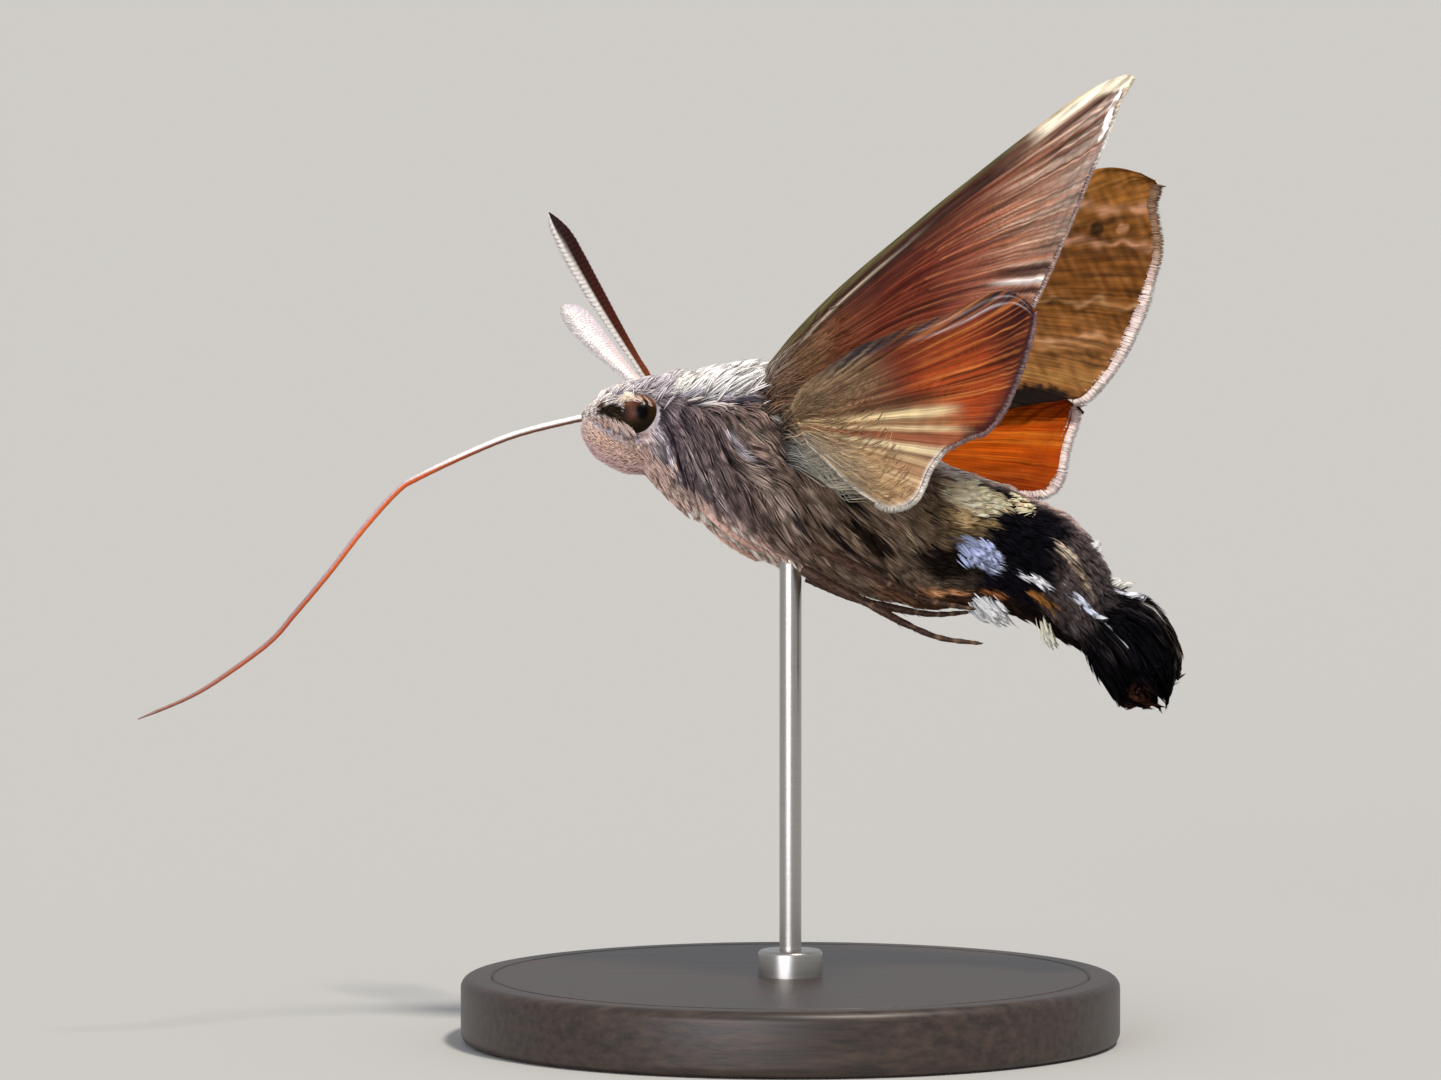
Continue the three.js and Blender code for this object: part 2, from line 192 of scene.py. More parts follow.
def edge_at(rows: Rows, s: Array) -> Array:
    """Reads a wing's edge, given as span and chord, without overshoot.

    Args:
        rows: Span and chord of the points on the edge.
        s: Spans to read it at.

    Returns:
        The chord at each span.
    """
    x, y = np.array(rows, float).T
    slope = np.diff(y) / np.diff(x)
    product = slope[:-1] * slope[1:]
    total = np.where(product > 0, slope[:-1] + slope[1:], 1)
    inner = np.where(product > 0, 2 * product / total, 0)
    tangent = np.concatenate([[slope[0]], inner, [slope[-1]]])
    i = np.clip(np.searchsorted(x, s, side="right") - 1, 0, len(slope) - 1)
    width = x[i + 1] - x[i]
    u = np.clip((s - x[i]) / width, 0, 1)
    ease = u * u * (3 - 2 * u)
    start = u * (1 - u) ** 2 * width * tangent[i]
    end = u * u * (u - 1) * width * tangent[i + 1]
    return y[i] + ease * (y[i + 1] - y[i]) + start + end


def turning(axis: str, angle: float) -> Array:
    """The 3 by 3 matrix of a turn about one axis, in radians.

    Args:
        axis: The axis.
        angle: The angle in radians.

    Returns:
        The matrix.
    """
    c, s = math.cos(angle), math.sin(angle)
    rows = {
        "x": [[1, 0, 0], [0, c, -s], [0, s, c]],
        "y": [[c, 0, s], [0, 1, 0], [-s, 0, c]],
        "z": [[c, -s, 0], [s, c, 0], [0, 0, 1]],
    }
    return np.array(rows[axis])


def unit(vectors: Array) -> Array:
    """The same vectors, each made one long."""
    return vectors / np.maximum(np.linalg.norm(vectors, axis=-1, keepdims=True), 1e-9)


def nearest_of(points: Array, centres: Array) -> Array:
    """Finds the nearest centre to each point.

    Args:
        points: Places, one row each.
        centres: Centres, one row each.

    Returns:
        The number of the nearest centre for each point.
    """
    tree = KDTree(len(centres))
    for number, centre in enumerate(centres):
        tree.insert(centre, number)
    tree.balance()
    return np.array([tree.find(point)[1] for point in points])


class Side(Enum):
    """The moth's two sides, as the sign of their Y."""

    LEFT = -1
    RIGHT = 1

    @property
    def word(self) -> str:
        """The side as it stands in names."""
        return self.name.lower()

    def mirrored(self, points: Array) -> Array:
        """Moves places given for the right side over to this one."""
        return points * np.array([1, self.value, 1])


# Materials


def feed(tree: Any, node: Any, feeds: dict) -> None:
    """Sets or links a node's inputs.

    Args:
        tree: The material's node tree.
        node: The node.
        feeds: A value or an output socket for each input, by name or number.
    """
    for name, value in feeds.items():
        if isinstance(value, bpy.types.NodeSocket):
            tree.links.new(value, node.inputs[name])
        else:
            node.inputs[name].default_value = value


def add_node(tree: Any, kind: str, feeds: dict, **settings: Any) -> Any:
    """Adds a node to a material, with its settings and what feeds its sockets.

    Args:
        tree: The material's node tree.
        kind: The shader node's type.
        feeds: A value or an output socket for each input, by name or number.
        settings: Values of its own settings.

    Returns:
        The node's output sockets.
    """
    node = tree.nodes.new("ShaderNode" + kind)
    for name, value in settings.items():
        setattr(node, name, value)
    feed(tree, node, feeds)
    return node.outputs


def empty_material(name: str) -> tuple[Any, Any, Any]:
    """A new material with a Principled shader on its output.

    Args:
        name: The material's name.

    Returns:
        The material, its node tree and its shader.
    """
    material = bpy.data.materials.new(name)
    material.use_nodes = True
    tree = material.node_tree
    tree.nodes.clear()
    shader = tree.nodes.new("ShaderNodeBsdfPrincipled")
    add_node(tree, "OutputMaterial", {"Surface": shader.outputs["BSDF"]})
    return material, tree, shader


@dataclass(frozen=True)
class MarkedFinish:
    """A surface whose markings come from its own colour attribute.

    Fine streaks follow its strand attribute, a soft mottle follows the object, and the
    streaks also lift the surface a little.
    """

    name: str
    roughness: float
    specular: float
    streaks_across: float
    streaks_along: float
    streak_depth: float
    mottle_mm: float
    mottle_depth: float
    relief_mm: float
    coat: float = 0.0

    def build(self) -> Any:
        """Makes the material.

        Returns:
            The material.
        """
        material, tree, shader = empty_material(self.name)
        marks = add_node(tree, "Attribute", {}, attribute_name="marks")
        strand = add_node(tree, "Attribute", {}, attribute_name="strand")
        stretch = (self.streaks_across, self.streaks_along, 1.0)
        laid = add_node(tree, "Mapping", {"Vector": strand["Vector"], "Scale": stretch})
        streaks = add_node(tree, "TexNoise", {"Vector": laid["Vector"], "Scale": 1.0, "Detail": 3.0})
        place = add_node(tree, "TexCoord", {})
        fine = 1 / (self.mottle_mm * MM)
        mottle = add_node(tree, "TexNoise", {"Vector": place["Object"], "Scale": fine, "Detail": 2.0})
        levels = []
        for noise, depth in ((streaks, self.streak_depth), (mottle, self.mottle_depth)):
            feeds = {"Value": noise["Fac"], "From Min": 0.3, "From Max": 0.7}
            feeds.update({"To Min": 1 - depth, "To Max": 1 + depth})
            levels.append(add_node(tree, "MapRange", feeds)["Result"])
        shade = add_node(tree, "Math", dict(enumerate(levels)), operation="MULTIPLY")
        colour = add_node(
            tree, "VectorMath", {"Vector": marks["Color"], "Scale": shade["Value"]}, operation="SCALE"
        )
        bump = add_node(
            tree, "Bump", {"Height": streaks["Fac"], "Strength": 0.5, "Distance": self.relief_mm * MM}
        )
        feed(tree, shader, {
            "Base Color": colour["Vector"], "Normal": bump["Normal"], "Roughness": self.roughness,
            "Specular IOR Level": self.specular, "Coat Weight": self.coat, "Coat Roughness": 0.12,
        })
        return material


@dataclass(frozen=True)
class EyeFinish:
    """The cornea of a compound eye, clear and domed over brown pigment.

    Its facets are 0.025 mm across in life, and are drawn three times as coarse so
    that they show as a fine grain in the gloss.
    """

    name: str = "Compound_eye_cornea_clear_domed"
    facet_mm: float = 0.075

    def build(self) -> Any:
        """Makes the material.

        Returns:
            The material.
        """
        material, tree, shader = empty_material(self.name)
        marks = add_node(tree, "Attribute", {}, attribute_name="marks")
        place = add_node(tree, "TexCoord", {})
        feeds = {"Vector": place["Object"], "Scale": 1 / (self.facet_mm * MM), "Randomness": 0.25}
        facets = add_node(tree, "TexVoronoi", feeds, feature="F1")
        feeds = {"Height": facets["Distance"], "Strength": 0.25, "Distance": 0.012 * MM}
        bump = add_node(tree, "Bump", feeds, invert=True)
        feeds = {"Value": facets["Distance"], "From Max": 0.7, "To Min": 1.15, "To Max": 0.75}
        shade = add_node(tree, "MapRange", feeds)
        colour = add_node(
            tree, "VectorMath", {"Vector": marks["Color"], "Scale": shade["Result"]}, operation="SCALE"
        )
        feed(tree, shader, {
            "Base Color": colour["Vector"], "Normal": bump["Normal"], "Roughness": 0.3,
            "Specular IOR Level": 0.06,
        })
        return material


@dataclass(frozen=True)
class WoodFinish:
    """Hardwood stained black and wiped with satin oil, turned on a lathe.

    The stain leaves the open grain a shade browner, and the oil a low, soft gloss.
    """

    name: str = "Ebonised_hardwood_turned_oiled"
    dark: str = "#241d1a"
    brown: str = "#43342b"
    grain_mm: float = 0.35

    def build(self) -> Any:
        """Makes the material.

        Returns:
            The material.
        """
        material, tree, shader = empty_material(self.name)
        place = add_node(tree, "TexCoord", {})
        fine = 1 / (self.grain_mm * MM)
        laid = add_node(tree, "Mapping", {"Vector": place["Object"], "Scale": (fine * 0.06, fine, fine)})
        feeds = {"Vector": laid["Vector"], "Scale": 1.0, "Detail": 5.0, "Roughness": 0.6}
        grain = add_node(tree, "TexNoise", feeds)
        share = add_node(tree, "MapRange", {"Value": grain["Fac"], "From Min": 0.35, "From Max": 0.7})
        feeds = {0: share["Result"], 6: (*linear(self.dark), 1), 7: (*linear(self.brown), 1)}
        colour = add_node(tree, "Mix", feeds, data_type="RGBA")
        rough = add_node(tree, "MapRange", {"Value": grain["Fac"], "To Min": 0.34, "To Max": 0.52})
        bump = add_node(tree, "Bump", {"Height": grain["Fac"], "Strength": 0.3, "Distance": 0.05 * MM})
        feed(tree, shader, {"Base Color": colour[2], "Roughness": rough["Result"], "Normal": bump["Normal"]})
        return material


@dataclass(frozen=True)
class SteelFinish:
    """Stainless steel rod, drawn and brushed round, so that its gloss has fine rings."""

    name: str = "Stainless_steel_drawn_brushed"
    colour: str = "#b4b1ac"
    line_mm: float = 0.08

    def build(self) -> Any:
        """Makes the material.

        Returns:
            The material.
        """
        material, tree, shader = empty_material(self.name)
        place = add_node(tree, "TexCoord", {})
        fine = 1 / (self.line_mm * MM)
        feeds = {"Vector": place["Object"], "Scale": (fine * 0.1, fine * 0.1, fine)}
        laid = add_node(tree, "Mapping", feeds)
        lines = add_node(tree, "TexNoise", {"Vector": laid["Vector"], "Scale": 1.0, "Detail": 3.0})
        tint = add_node(tree, "MapRange", {"Value": lines["Fac"], "To Min": 0.86, "To Max": 1.08})
        feeds = {"Vector": tuple(linear(self.colour)), "Scale": tint["Result"]}
        colour = add_node(tree, "VectorMath", feeds, operation="SCALE")
        rough = add_node(tree, "MapRange", {"Value": lines["Fac"], "To Min": 0.22, "To Max": 0.42})
        bump = add_node(tree, "Bump", {"Height": lines["Fac"], "Strength": 0.15, "Distance": 0.01 * MM})
        feed(tree, shader, {
            "Base Color": colour["Vector"], "Roughness": rough["Result"], "Normal": bump["Normal"],
            "Metallic": 1.0,
        })
        return material


@dataclass(frozen=True)
class FloorFinish:
    """Matt studio paper, plain and pale."""

    name: str = "Studio_paper_matt"
    colour: str = "#b6b6b4"

    def build(self) -> Any:
        """Makes the material.

        Returns:
            The material.
        """
        material, tree, shader = empty_material(self.name)
        colour = (*linear(self.colour), 1)
        feed(tree, shader, {"Base Color": colour, "Roughness": 0.9, "Specular IOR Level": 0.1})
        return material


class Finish(Enum):
    """The moth's finishes, each with what it gives the eye."""

    # Hair-like scales standing on the skin: soft and dry
    FUR = MarkedFinish("Moth_scale_fur_dry_silky", 0.85, 0.03, 5.0, 1.2, 0.28, 0.5, 0.12, 0.03)
    # Bare cuticle under the coat: tanned, tough and dull
    SKIN = MarkedFinish("Moth_cuticle_tanned_dull", 0.7, 0.3, 60.0, 40.0, 0.15, 0.3, 0.15, 0.02)
    # Flat wing scales in rows on a thin membrane: matt, with a fine run along the veins
    WING = MarkedFinish("Wing_membrane_scaled_matt", 0.75, 0.05, 130.0, 7.0, 0.5, 0.7, 0.1, 0.04)
    # Horn-like cuticle of feelers and legs: smooth, low gloss
    HORN = MarkedFinish("Moth_horn_cuticle_smooth", 0.5, 0.2, 8.0, 120.0, 0.15, 0.2, 0.08, 0.01)
    # The feeding tube's elastic cuticle: glossy amber with fine rings
    TUBE = MarkedFinish("Proboscis_cuticle_ringed_glossy", 0.3, 0.5, 3.0, 420.0, 0.22, 0.25, 0.06, 0.015,
                        0.5)


# Meshes


def smooth(bm: Any) -> None:
    """Shades every face of a bmesh smooth."""
    for face in bm.faces:
        face.smooth = True


def mesh_from(bm: Any, name: str) -> Any:
    """Turns a bmesh into a mesh, and frees it.

    Args:
        bm: The work mesh.
        name: A name.

    Returns:
        The mesh.
    """
    mesh = bpy.data.meshes.new(name)
    bm.to_mesh(mesh)
    bm.free()
    return mesh


def placed(name: str, data: Any) -> Any:
    """Puts a new object that holds the given data into the scene.

    Args:
        name: A name.
        data: What the object shows.

    Returns:
        The object.
    """
    made = bpy.data.objects.new(name, data)
    bpy.context.scene.collection.objects.link(made)
    return made


def finish_piece(mesh: Any, name: str, material: Any, slot: str, replaced: Sequence[str] = ()) -> None:
    """Puts a finished mesh into the scene as a piece of the object.

    Args:
        mesh: The mesh, in the model's frame.
        name: The piece's name.
        material: Its material.
        slot: Not used.
        replaced: The nodes it stands for.
    """
    mesh.name = name
    mesh.materials.append(material)
    piece = placed(name, mesh)
    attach(piece, "root")
    if replaced:
        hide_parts(*replaced)
    LOG.info("%s: %d faces", name, len(mesh.polygons))


def mark(mesh: Any, colours: Array, strand: Array) -> None:
    """Stores a mesh's markings and the run of its strands, one row for each vertex.

    Args:
        mesh: The mesh.
        colours: Linear colours.
        strand: Places across and along the strands.
    """
    for name, kind, key, rows, last in (
        ("marks", "FLOAT_COLOR", "color", colours, 1.0), ("strand", "FLOAT_VECTOR", "vector", strand, 0.0)
    ):
        full = np.column_stack((rows, np.full(len(rows), last)))
        mesh.attributes.new(name, kind, "POINT").data.foreach_set(key, full.astype(np.float32).ravel())


def corners_of(mesh: Any) -> Array:
    """The mesh's vertices, one row each.

    Args:
        mesh: The mesh.

    Returns:
        Places, one row each.
    """
    flat = np.zeros(len(mesh.vertices) * 3, np.float32)
    mesh.vertices.foreach_get("co", flat)
    return flat.reshape(-1, 3).astype(float)


def set_corners(mesh: Any, points: Array) -> None:
    """Moves the mesh's vertices to new places, one row each."""
    mesh.vertices.foreach_set("co", np.asarray(points, np.float32).ravel())
    mesh.update()


Painter = Callable[[Array, Array], Arrays]


def wrapped(along: int, around: int, place: Painter) -> Any:
    """A closed tube made from a grid that is rolled up, welded and capped.

    Args:
        along: Faces along the tube.
        around: Faces round it.
        place: Gives the places, in the moth's frame, and the colours for shares
            along the tube and turns round it.

    Returns:
        The mesh in the model's frame.
    """
    bm = bmesh.new()
    bmesh.ops.create_grid(bm, x_segments=along, y_segments=around, size=0.5)
    share = np.array([v.co for v in bm.verts]) + 0.5
    points, colours = place(share[:, 0], share[:, 1])
    layer = bm.verts.layers.float_color.new("marks")
    strand = bm.verts.layers.float_vector.new("strand")
    for vert, point, colour, (u, v, _) in zip(bm.verts, to_model(points) / MM, colours, share):
        vert.co = point
        vert[layer] = (*colour, 1)
        vert[strand] = (v, u, 0)
    bmesh.ops.remove_doubles(bm, verts=bm.verts[:], dist=1e-5)
    bmesh.ops.holes_fill(bm, edges=[edge for edge in bm.edges if edge.is_boundary], sides=0)
    bmesh.ops.recalc_face_normals(bm, faces=bm.faces[:])
    bmesh.ops.scale(bm, vec=(MM, MM, MM), verts=bm.verts[:])
    smooth(bm)
    return mesh_from(bm, "tube")


class LockShape:
    """A lock of hair with three sides and a point, to be copied and bent.

    Attributes:
        levels: Shares of its length at which it can bend.
    """

    def __init__(self, bends: Sequence[float]) -> None:
        """Makes the lock.

        Args:
            bends: Shares of its length, between root and tip, at which it can bend.
        """
        bm = bmesh.new()
        bmesh.ops.create_cone(bm, cap_ends=True, cap_tris=False, segments=3, radius1=1, radius2=0, depth=1)
        bmesh.ops.remove_doubles(bm, verts=bm.verts[:], dist=1e-5)
        for bend in bends:
            whole = bm.verts[:] + bm.edges[:] + bm.faces[:]
            bmesh.ops.bisect_plane(bm, geom=whole, plane_co=(0, 0, bend - 0.5), plane_no=(0, 0, 1))
        bmesh.ops.recalc_face_normals(bm, faces=bm.faces[:])
        bm.verts.index_update()
        places = np.array([v.co for v in bm.verts])
        self.levels = np.array([0.0, *bends, 1.0])
        self.along = places[:, 2] + 0.5
        self.level = np.abs(self.along[:, None] - self.levels).argmin(1)
        spread = np.maximum(1 - self.along, 1e-6)[:, None]
        self.across, self.up = np.where(self.along[:, None] < 0.999, places[:, :2] / spread, 0).T
        self.width = run([(0, 0.6), (0.3, 1.0), (0.65, 0.8), (0.9, 0.35), (1, 0)], self.along)
        self.faces = [[v.index for v in face.verts] for face in bm.faces]
        bm.free()

    def trace(self, rule: Callable[[float], Array]) -> Array:
        """Places at each bend, from a rule that gives them for a share of the length."""
        return np.stack([rule(level) for level in self.levels], 1)

    def repeat(self, rows: Array) -> Array:
        """The same rows at each bend."""
        return np.repeat(rows[:, None], len(self.levels), 1)


SHORT_LOCK = LockShape((0.5,))
LONG_LOCK = LockShape((0.35, 0.7))


@dataclass
class Locks:
    """Many bent locks, in the moth's frame, in mm.

    Each has a path, the directions away from the skin along it, a width, a linear colour
    at its root and tip, and the place of its root on the skin's unwrap.
    """

    path: Array
    rise: Array
    width: Array
    root: Array
    tip: Array
    patch: Array
    patch_size: float = 0.003
    strand_step: Two = (91, 57)

    def mesh(self, shape: LockShape, flatness: float, twist: Array) -> Any:
        """Copies the lock shape along every path into one mesh.

        Args:
            shape: The lock.
            flatness: A lock's thickness as a share of its width.
            twist: How far each lock is turned about its own length, in radians.

        Returns:
            The mesh in the model's frame.
        """
        count = len(self.path)
        run_on = unit(np.gradient(self.path, axis=1))
        across = unit(np.cross(run_on, self.rise))
        lift = unit(np.cross(across, run_on))
        c, s = np.cos(twist)[:, None, None], np.sin(twist)[:, None, None]
        across, lift = across * c + lift * s, lift * c - across * s
        at = shape.level
        half = self.width[:, None] / 2 * shape.width
        points = (
            self.path[:, at]
            + across[:, at] * (half * shape.across)[..., None]
            + lift[:, at] * (half * flatness * (shape.up + 0.5))[..., None]
        )
        size = len(shape.along)
        mesh = bpy.data.meshes.new("locks")
        mesh.vertices.add(count * size)
        set_corners(mesh, to_model(points.reshape(-1, 3)))
        loops = np.array([corner for face in shape.faces for corner in face])
        totals = np.array([len(face) for face in shape.faces])
        starts = np.concatenate([[0], np.cumsum(totals)[:-1]])
        offsets = np.arange(count)[:, None]
        mesh.loops.add(count * len(loops))
        mesh.loops.foreach_set("vertex_index", (loops + offsets * size).ravel().astype(np.int32))
        mesh.polygons.add(count * len(totals))
        mesh.polygons.foreach_set("loop_start", (starts + offsets * len(loops)).ravel().astype(np.int32))
        mesh.polygons.foreach_set("use_smooth", np.ones(count * len(totals), bool))
        mesh.update(calc_edges=True)
        colours = self.root[:, None] + (self.tip - self.root)[:, None] * shape.along[None, :, None]
        step, rows = self.strand_step, self.patch
        strand = np.stack([shape.across + rows[:, :1] * step[0], shape.along + rows[:, 1:] * step[1]], -1)
        mark(mesh, colours.reshape(-1, 3), strand.reshape(-1, 2))
        cell = np.column_stack([shape.across * 0.5, shape.along - 0.5 - 0.15 * shape.up]) * self.patch_size
        laid = np.clip(self.patch, 0.004, 0.996)[:, None] + cell[loops][None]
        unwrap = mesh.uv_layers.new(name="OFBake")
        unwrap.data.foreach_set("uv", laid.astype(np.float32).ravel())
        mesh.validate(clean_customdata=False)
        return mesh


# Forms of the body


class Form:
    """A surface of the moth, told by two running numbers and a height over it.

    Attributes:
        steps: Small steps of the two numbers, for slopes.
        handed: 1 where the two runs turn to face out, otherwise -1.
    """

    steps = (0.02, 0.5)
    handed = 1.0

    def place(self, a: Array, b: Array, height: Array) -> Array:
        """Places on the surface, raised by a height in mm."""
        raise NotImplementedError

    def runs(self, a: Array, b: Array, height: Array) -> Arrays:
        """How the place changes with each of the two numbers.

        Args:
            a: The first number.
            b: The second number.
            height: Heights over the surface.

        Returns:
            The change for one unit of each number, in mm.
        """
        da, db = self.steps
        first = self.place(a + da, b, height) - self.place(a - da, b, height)
        second = self.place(a, b + db, height) - self.place(a, b - db, height)
        return first / (2 * da), second / (2 * db)

    def outward(self, a: Array, b: Array, height: Array) -> Array:
        """The direction away from the surface."""
        first, second = self.runs(a, b, height)
        return unit(np.cross(first, second)) * self.handed

    def scatter(self, count: int, spans: Sequence[Two], rng: Any) -> Arrays:
        """Spreads roots evenly by area.

        Args:
            count: How many roots.
            spans: The stretch of each of the two numbers.
            rng: The random numbers.

        Returns:
            The two numbers of each root.
        """
        (a0, a1), (b0, b1) = spans
        a = rng.uniform(a0, a1, count * 3)
        b = rng.uniform(b0, b1, count * 3)
        first, second = self.runs(a, b, np.zeros(len(a)))
        area = np.linalg.norm(np.cross(first, second), axis=1)
        chosen = rng.choice(len(a), count, replace=False, p=area / area.sum())
        return a[chosen], b[chosen]


# Each section of the body from nose to tail: middle x and z, lean from upright in
# degrees, depth and width over the coat
SECTIONS = np.array([
    [-8.15, 2.1, -4, 0.7, 0.8],
    [-7.7, 2.2, 0, 1.4, 2.2],
    [-7.1, 2.25, 3, 2.4, 3.4],
    [-6.2, 2.15, 2, 3.2, 4.3],
    [-5.2, 1.8, 0, 4.3, 4.8],
    [-4.2, 1.3, -1, 5.6, 5.3],
    [-3.0, 0.8, -4, 6.8, 6.5],
    [-1.5, 0.4, -4, 8.0, 7.4],
    [-0.1, 0.1, -3, 9.0, 7.9],
    [1.3, -0.2, -2, 9.4, 8.0],
    [2.8, -0.8, -1, 9.4, 7.8],
    [4.4, -1.5, 1, 8.8, 7.3],
    [6.1, -2.4, 1, 7.9, 6.7],
    [7.7, -3.2, 4, 6.9, 6.4],
    [9.0, -3.5, 5, 6.2, 6.4],
    [10.5, -3.7, 7, 5.8, 6.4],
    [11.8, -4.2, 11, 5.4, 6.1],
    [13.0, -4.7, 15, 5.3, 5.7],
    [14.0, -5.5, 19, 5.0, 5.1],
    [14.8, -6.3, 22, 4.3, 4.3],
    [15.4, -7.1, 31, 3.4, 3.5],
    [16.2, -7.7, 40, 4.2, 5.0],
    [17.0, -8.6, 45, 4.4, 6.5],
    [17.6, -9.8, 53, 3.9, 7.0],
    [17.9, -10.4, 57, 2.8, 6.2],
    [18.2, -10.9, 58, 0.9, 3.6],
])
TAIL_END = 25.0
ROUNDNESS = 2.15


class Trunk(Form):
    """Head, thorax, abdomen and fan as one run of sections.

    The first number is the section, and the second the angle from the back in
    degrees, below zero on the left side.
    """

    def half_sizes(self, station: Array) -> Arrays:
        """Half the depth and half the width over the coat, in mm."""
        rows = curve_through(SECTIONS, station)
        return rows[..., 3] / 2, rows[..., 4] / 2

    def place(self, a: Array, b: Array, height: Array) -> Array:
        """Places over the body's outline.

        Args:
            a: Sections, whole or between.
            b: Angles from the back, in degrees.
            height: Height over the outline, below zero inside it.

        Returns:
            Places in the moth's frame.
        """
        rows = curve_through(SECTIONS, a)
        c, s = np.cos(np.radians(b)), np.sin(np.radians(b))
        power = 2 / ROUNDNESS
        up = np.maximum(rows[:, 3] / 2 + height, 0.02) * np.sign(c) * np.abs(c) ** power
        across = np.maximum(rows[:, 4] / 2 + height, 0.02) * np.sign(s) * np.abs(s) ** power
        lean = np.radians(rows[:, 2])
        return np.column_stack((rows[:, 0] + up * np.sin(lean), across, rows[:, 1] + up * np.cos(lean)))


@dataclass
class Palp(Form):
    """One palp: a short curved horn under the face, covered in close fur.

    The first number is the share along it, and the second the angle from above.
    """

    side: Side
    route: Rows = (
        (-4.9, 0.72, 0.05), (-6.0, 0.78, 0.4), (-7.05, 0.72, 0.98), (-7.72, 0.6, 1.62), (-7.95, 0.5, 2.02),
    )
    radii: Rows = ((0, 0.42), (0.25, 0.7), (0.5, 0.72), (0.75, 0.5), (1, 0.22))
    steps: Two = (0.01, 0.5)

    def place(self, a: Array, b: Array, height: Array) -> Array:
        """Places over the palp's outline.

        Args:
            a: Shares along the palp.
            b: Angles from above, in degrees.
            height: Height over the outline.

        Returns:
            Places in the moth's frame.
        """
        last = len(self.route) - 1
        middle = curve_through(self.route, np.clip(a, 0, 1) * last)
        start = np.clip(a, 0, 0.98) * last
        heading = unit(curve_through(self.route, start + 0.08) - curve_through(self.route, start))
        across = unit(np.cross(heading, np.array([0.0, 0.0, 1.0])))
        up = np.cross(across, heading)
        radius = np.maximum(run(self.radii, a) + height, 0.02)[:, None]
        turn = np.radians(b)[:, None]
        return self.side.mirrored(middle + radius * (up * np.cos(turn) - across * np.sin(turn)))

    def outward(self, a: Array, b: Array, height: Array) -> Array:
        """The direction away from the palp's middle."""
        return unit(self.place(a, b, height + 0.2) - self.place(a, b, height - 0.1))


# Markings


@dataclass(frozen=True)
class Mark:
    """One mark in the coat or on a wing.

    It lies at a section or a span, and across that at an angle from the back, on either
    side, or at a chord. Long and broad are half its size in mm, and its slant turns its
    length, in degrees: 0 runs back, 90 down.
    """

    at: float
    across: float
    long: float
    broad: float
    slant: float
    colour: str
    edge: float = 0.3
    ragged: float = 0.18
    strength: float = 1.0

    def weight(self, forward: Array, down: Array, noise: Array) -> Array:
        """How fully the mark covers places given in mm from its middle.

        Args:
            forward: How far each place lies along from the middle.
            down: How far it lies across.
            noise: Ripples for the edge.

        Returns:
            Weights from 0 to 1.
        """
        turn = math.radians(self.slant)
        p = forward * math.cos(turn) + down * math.sin(turn)
        q = down * math.cos(turn) - forward * math.sin(turn)
        far = np.hypot(p / self.long, q / self.broad) + self.ragged * noise
        return self.strength * fall(1 - self.edge, 1 + self.edge, far)


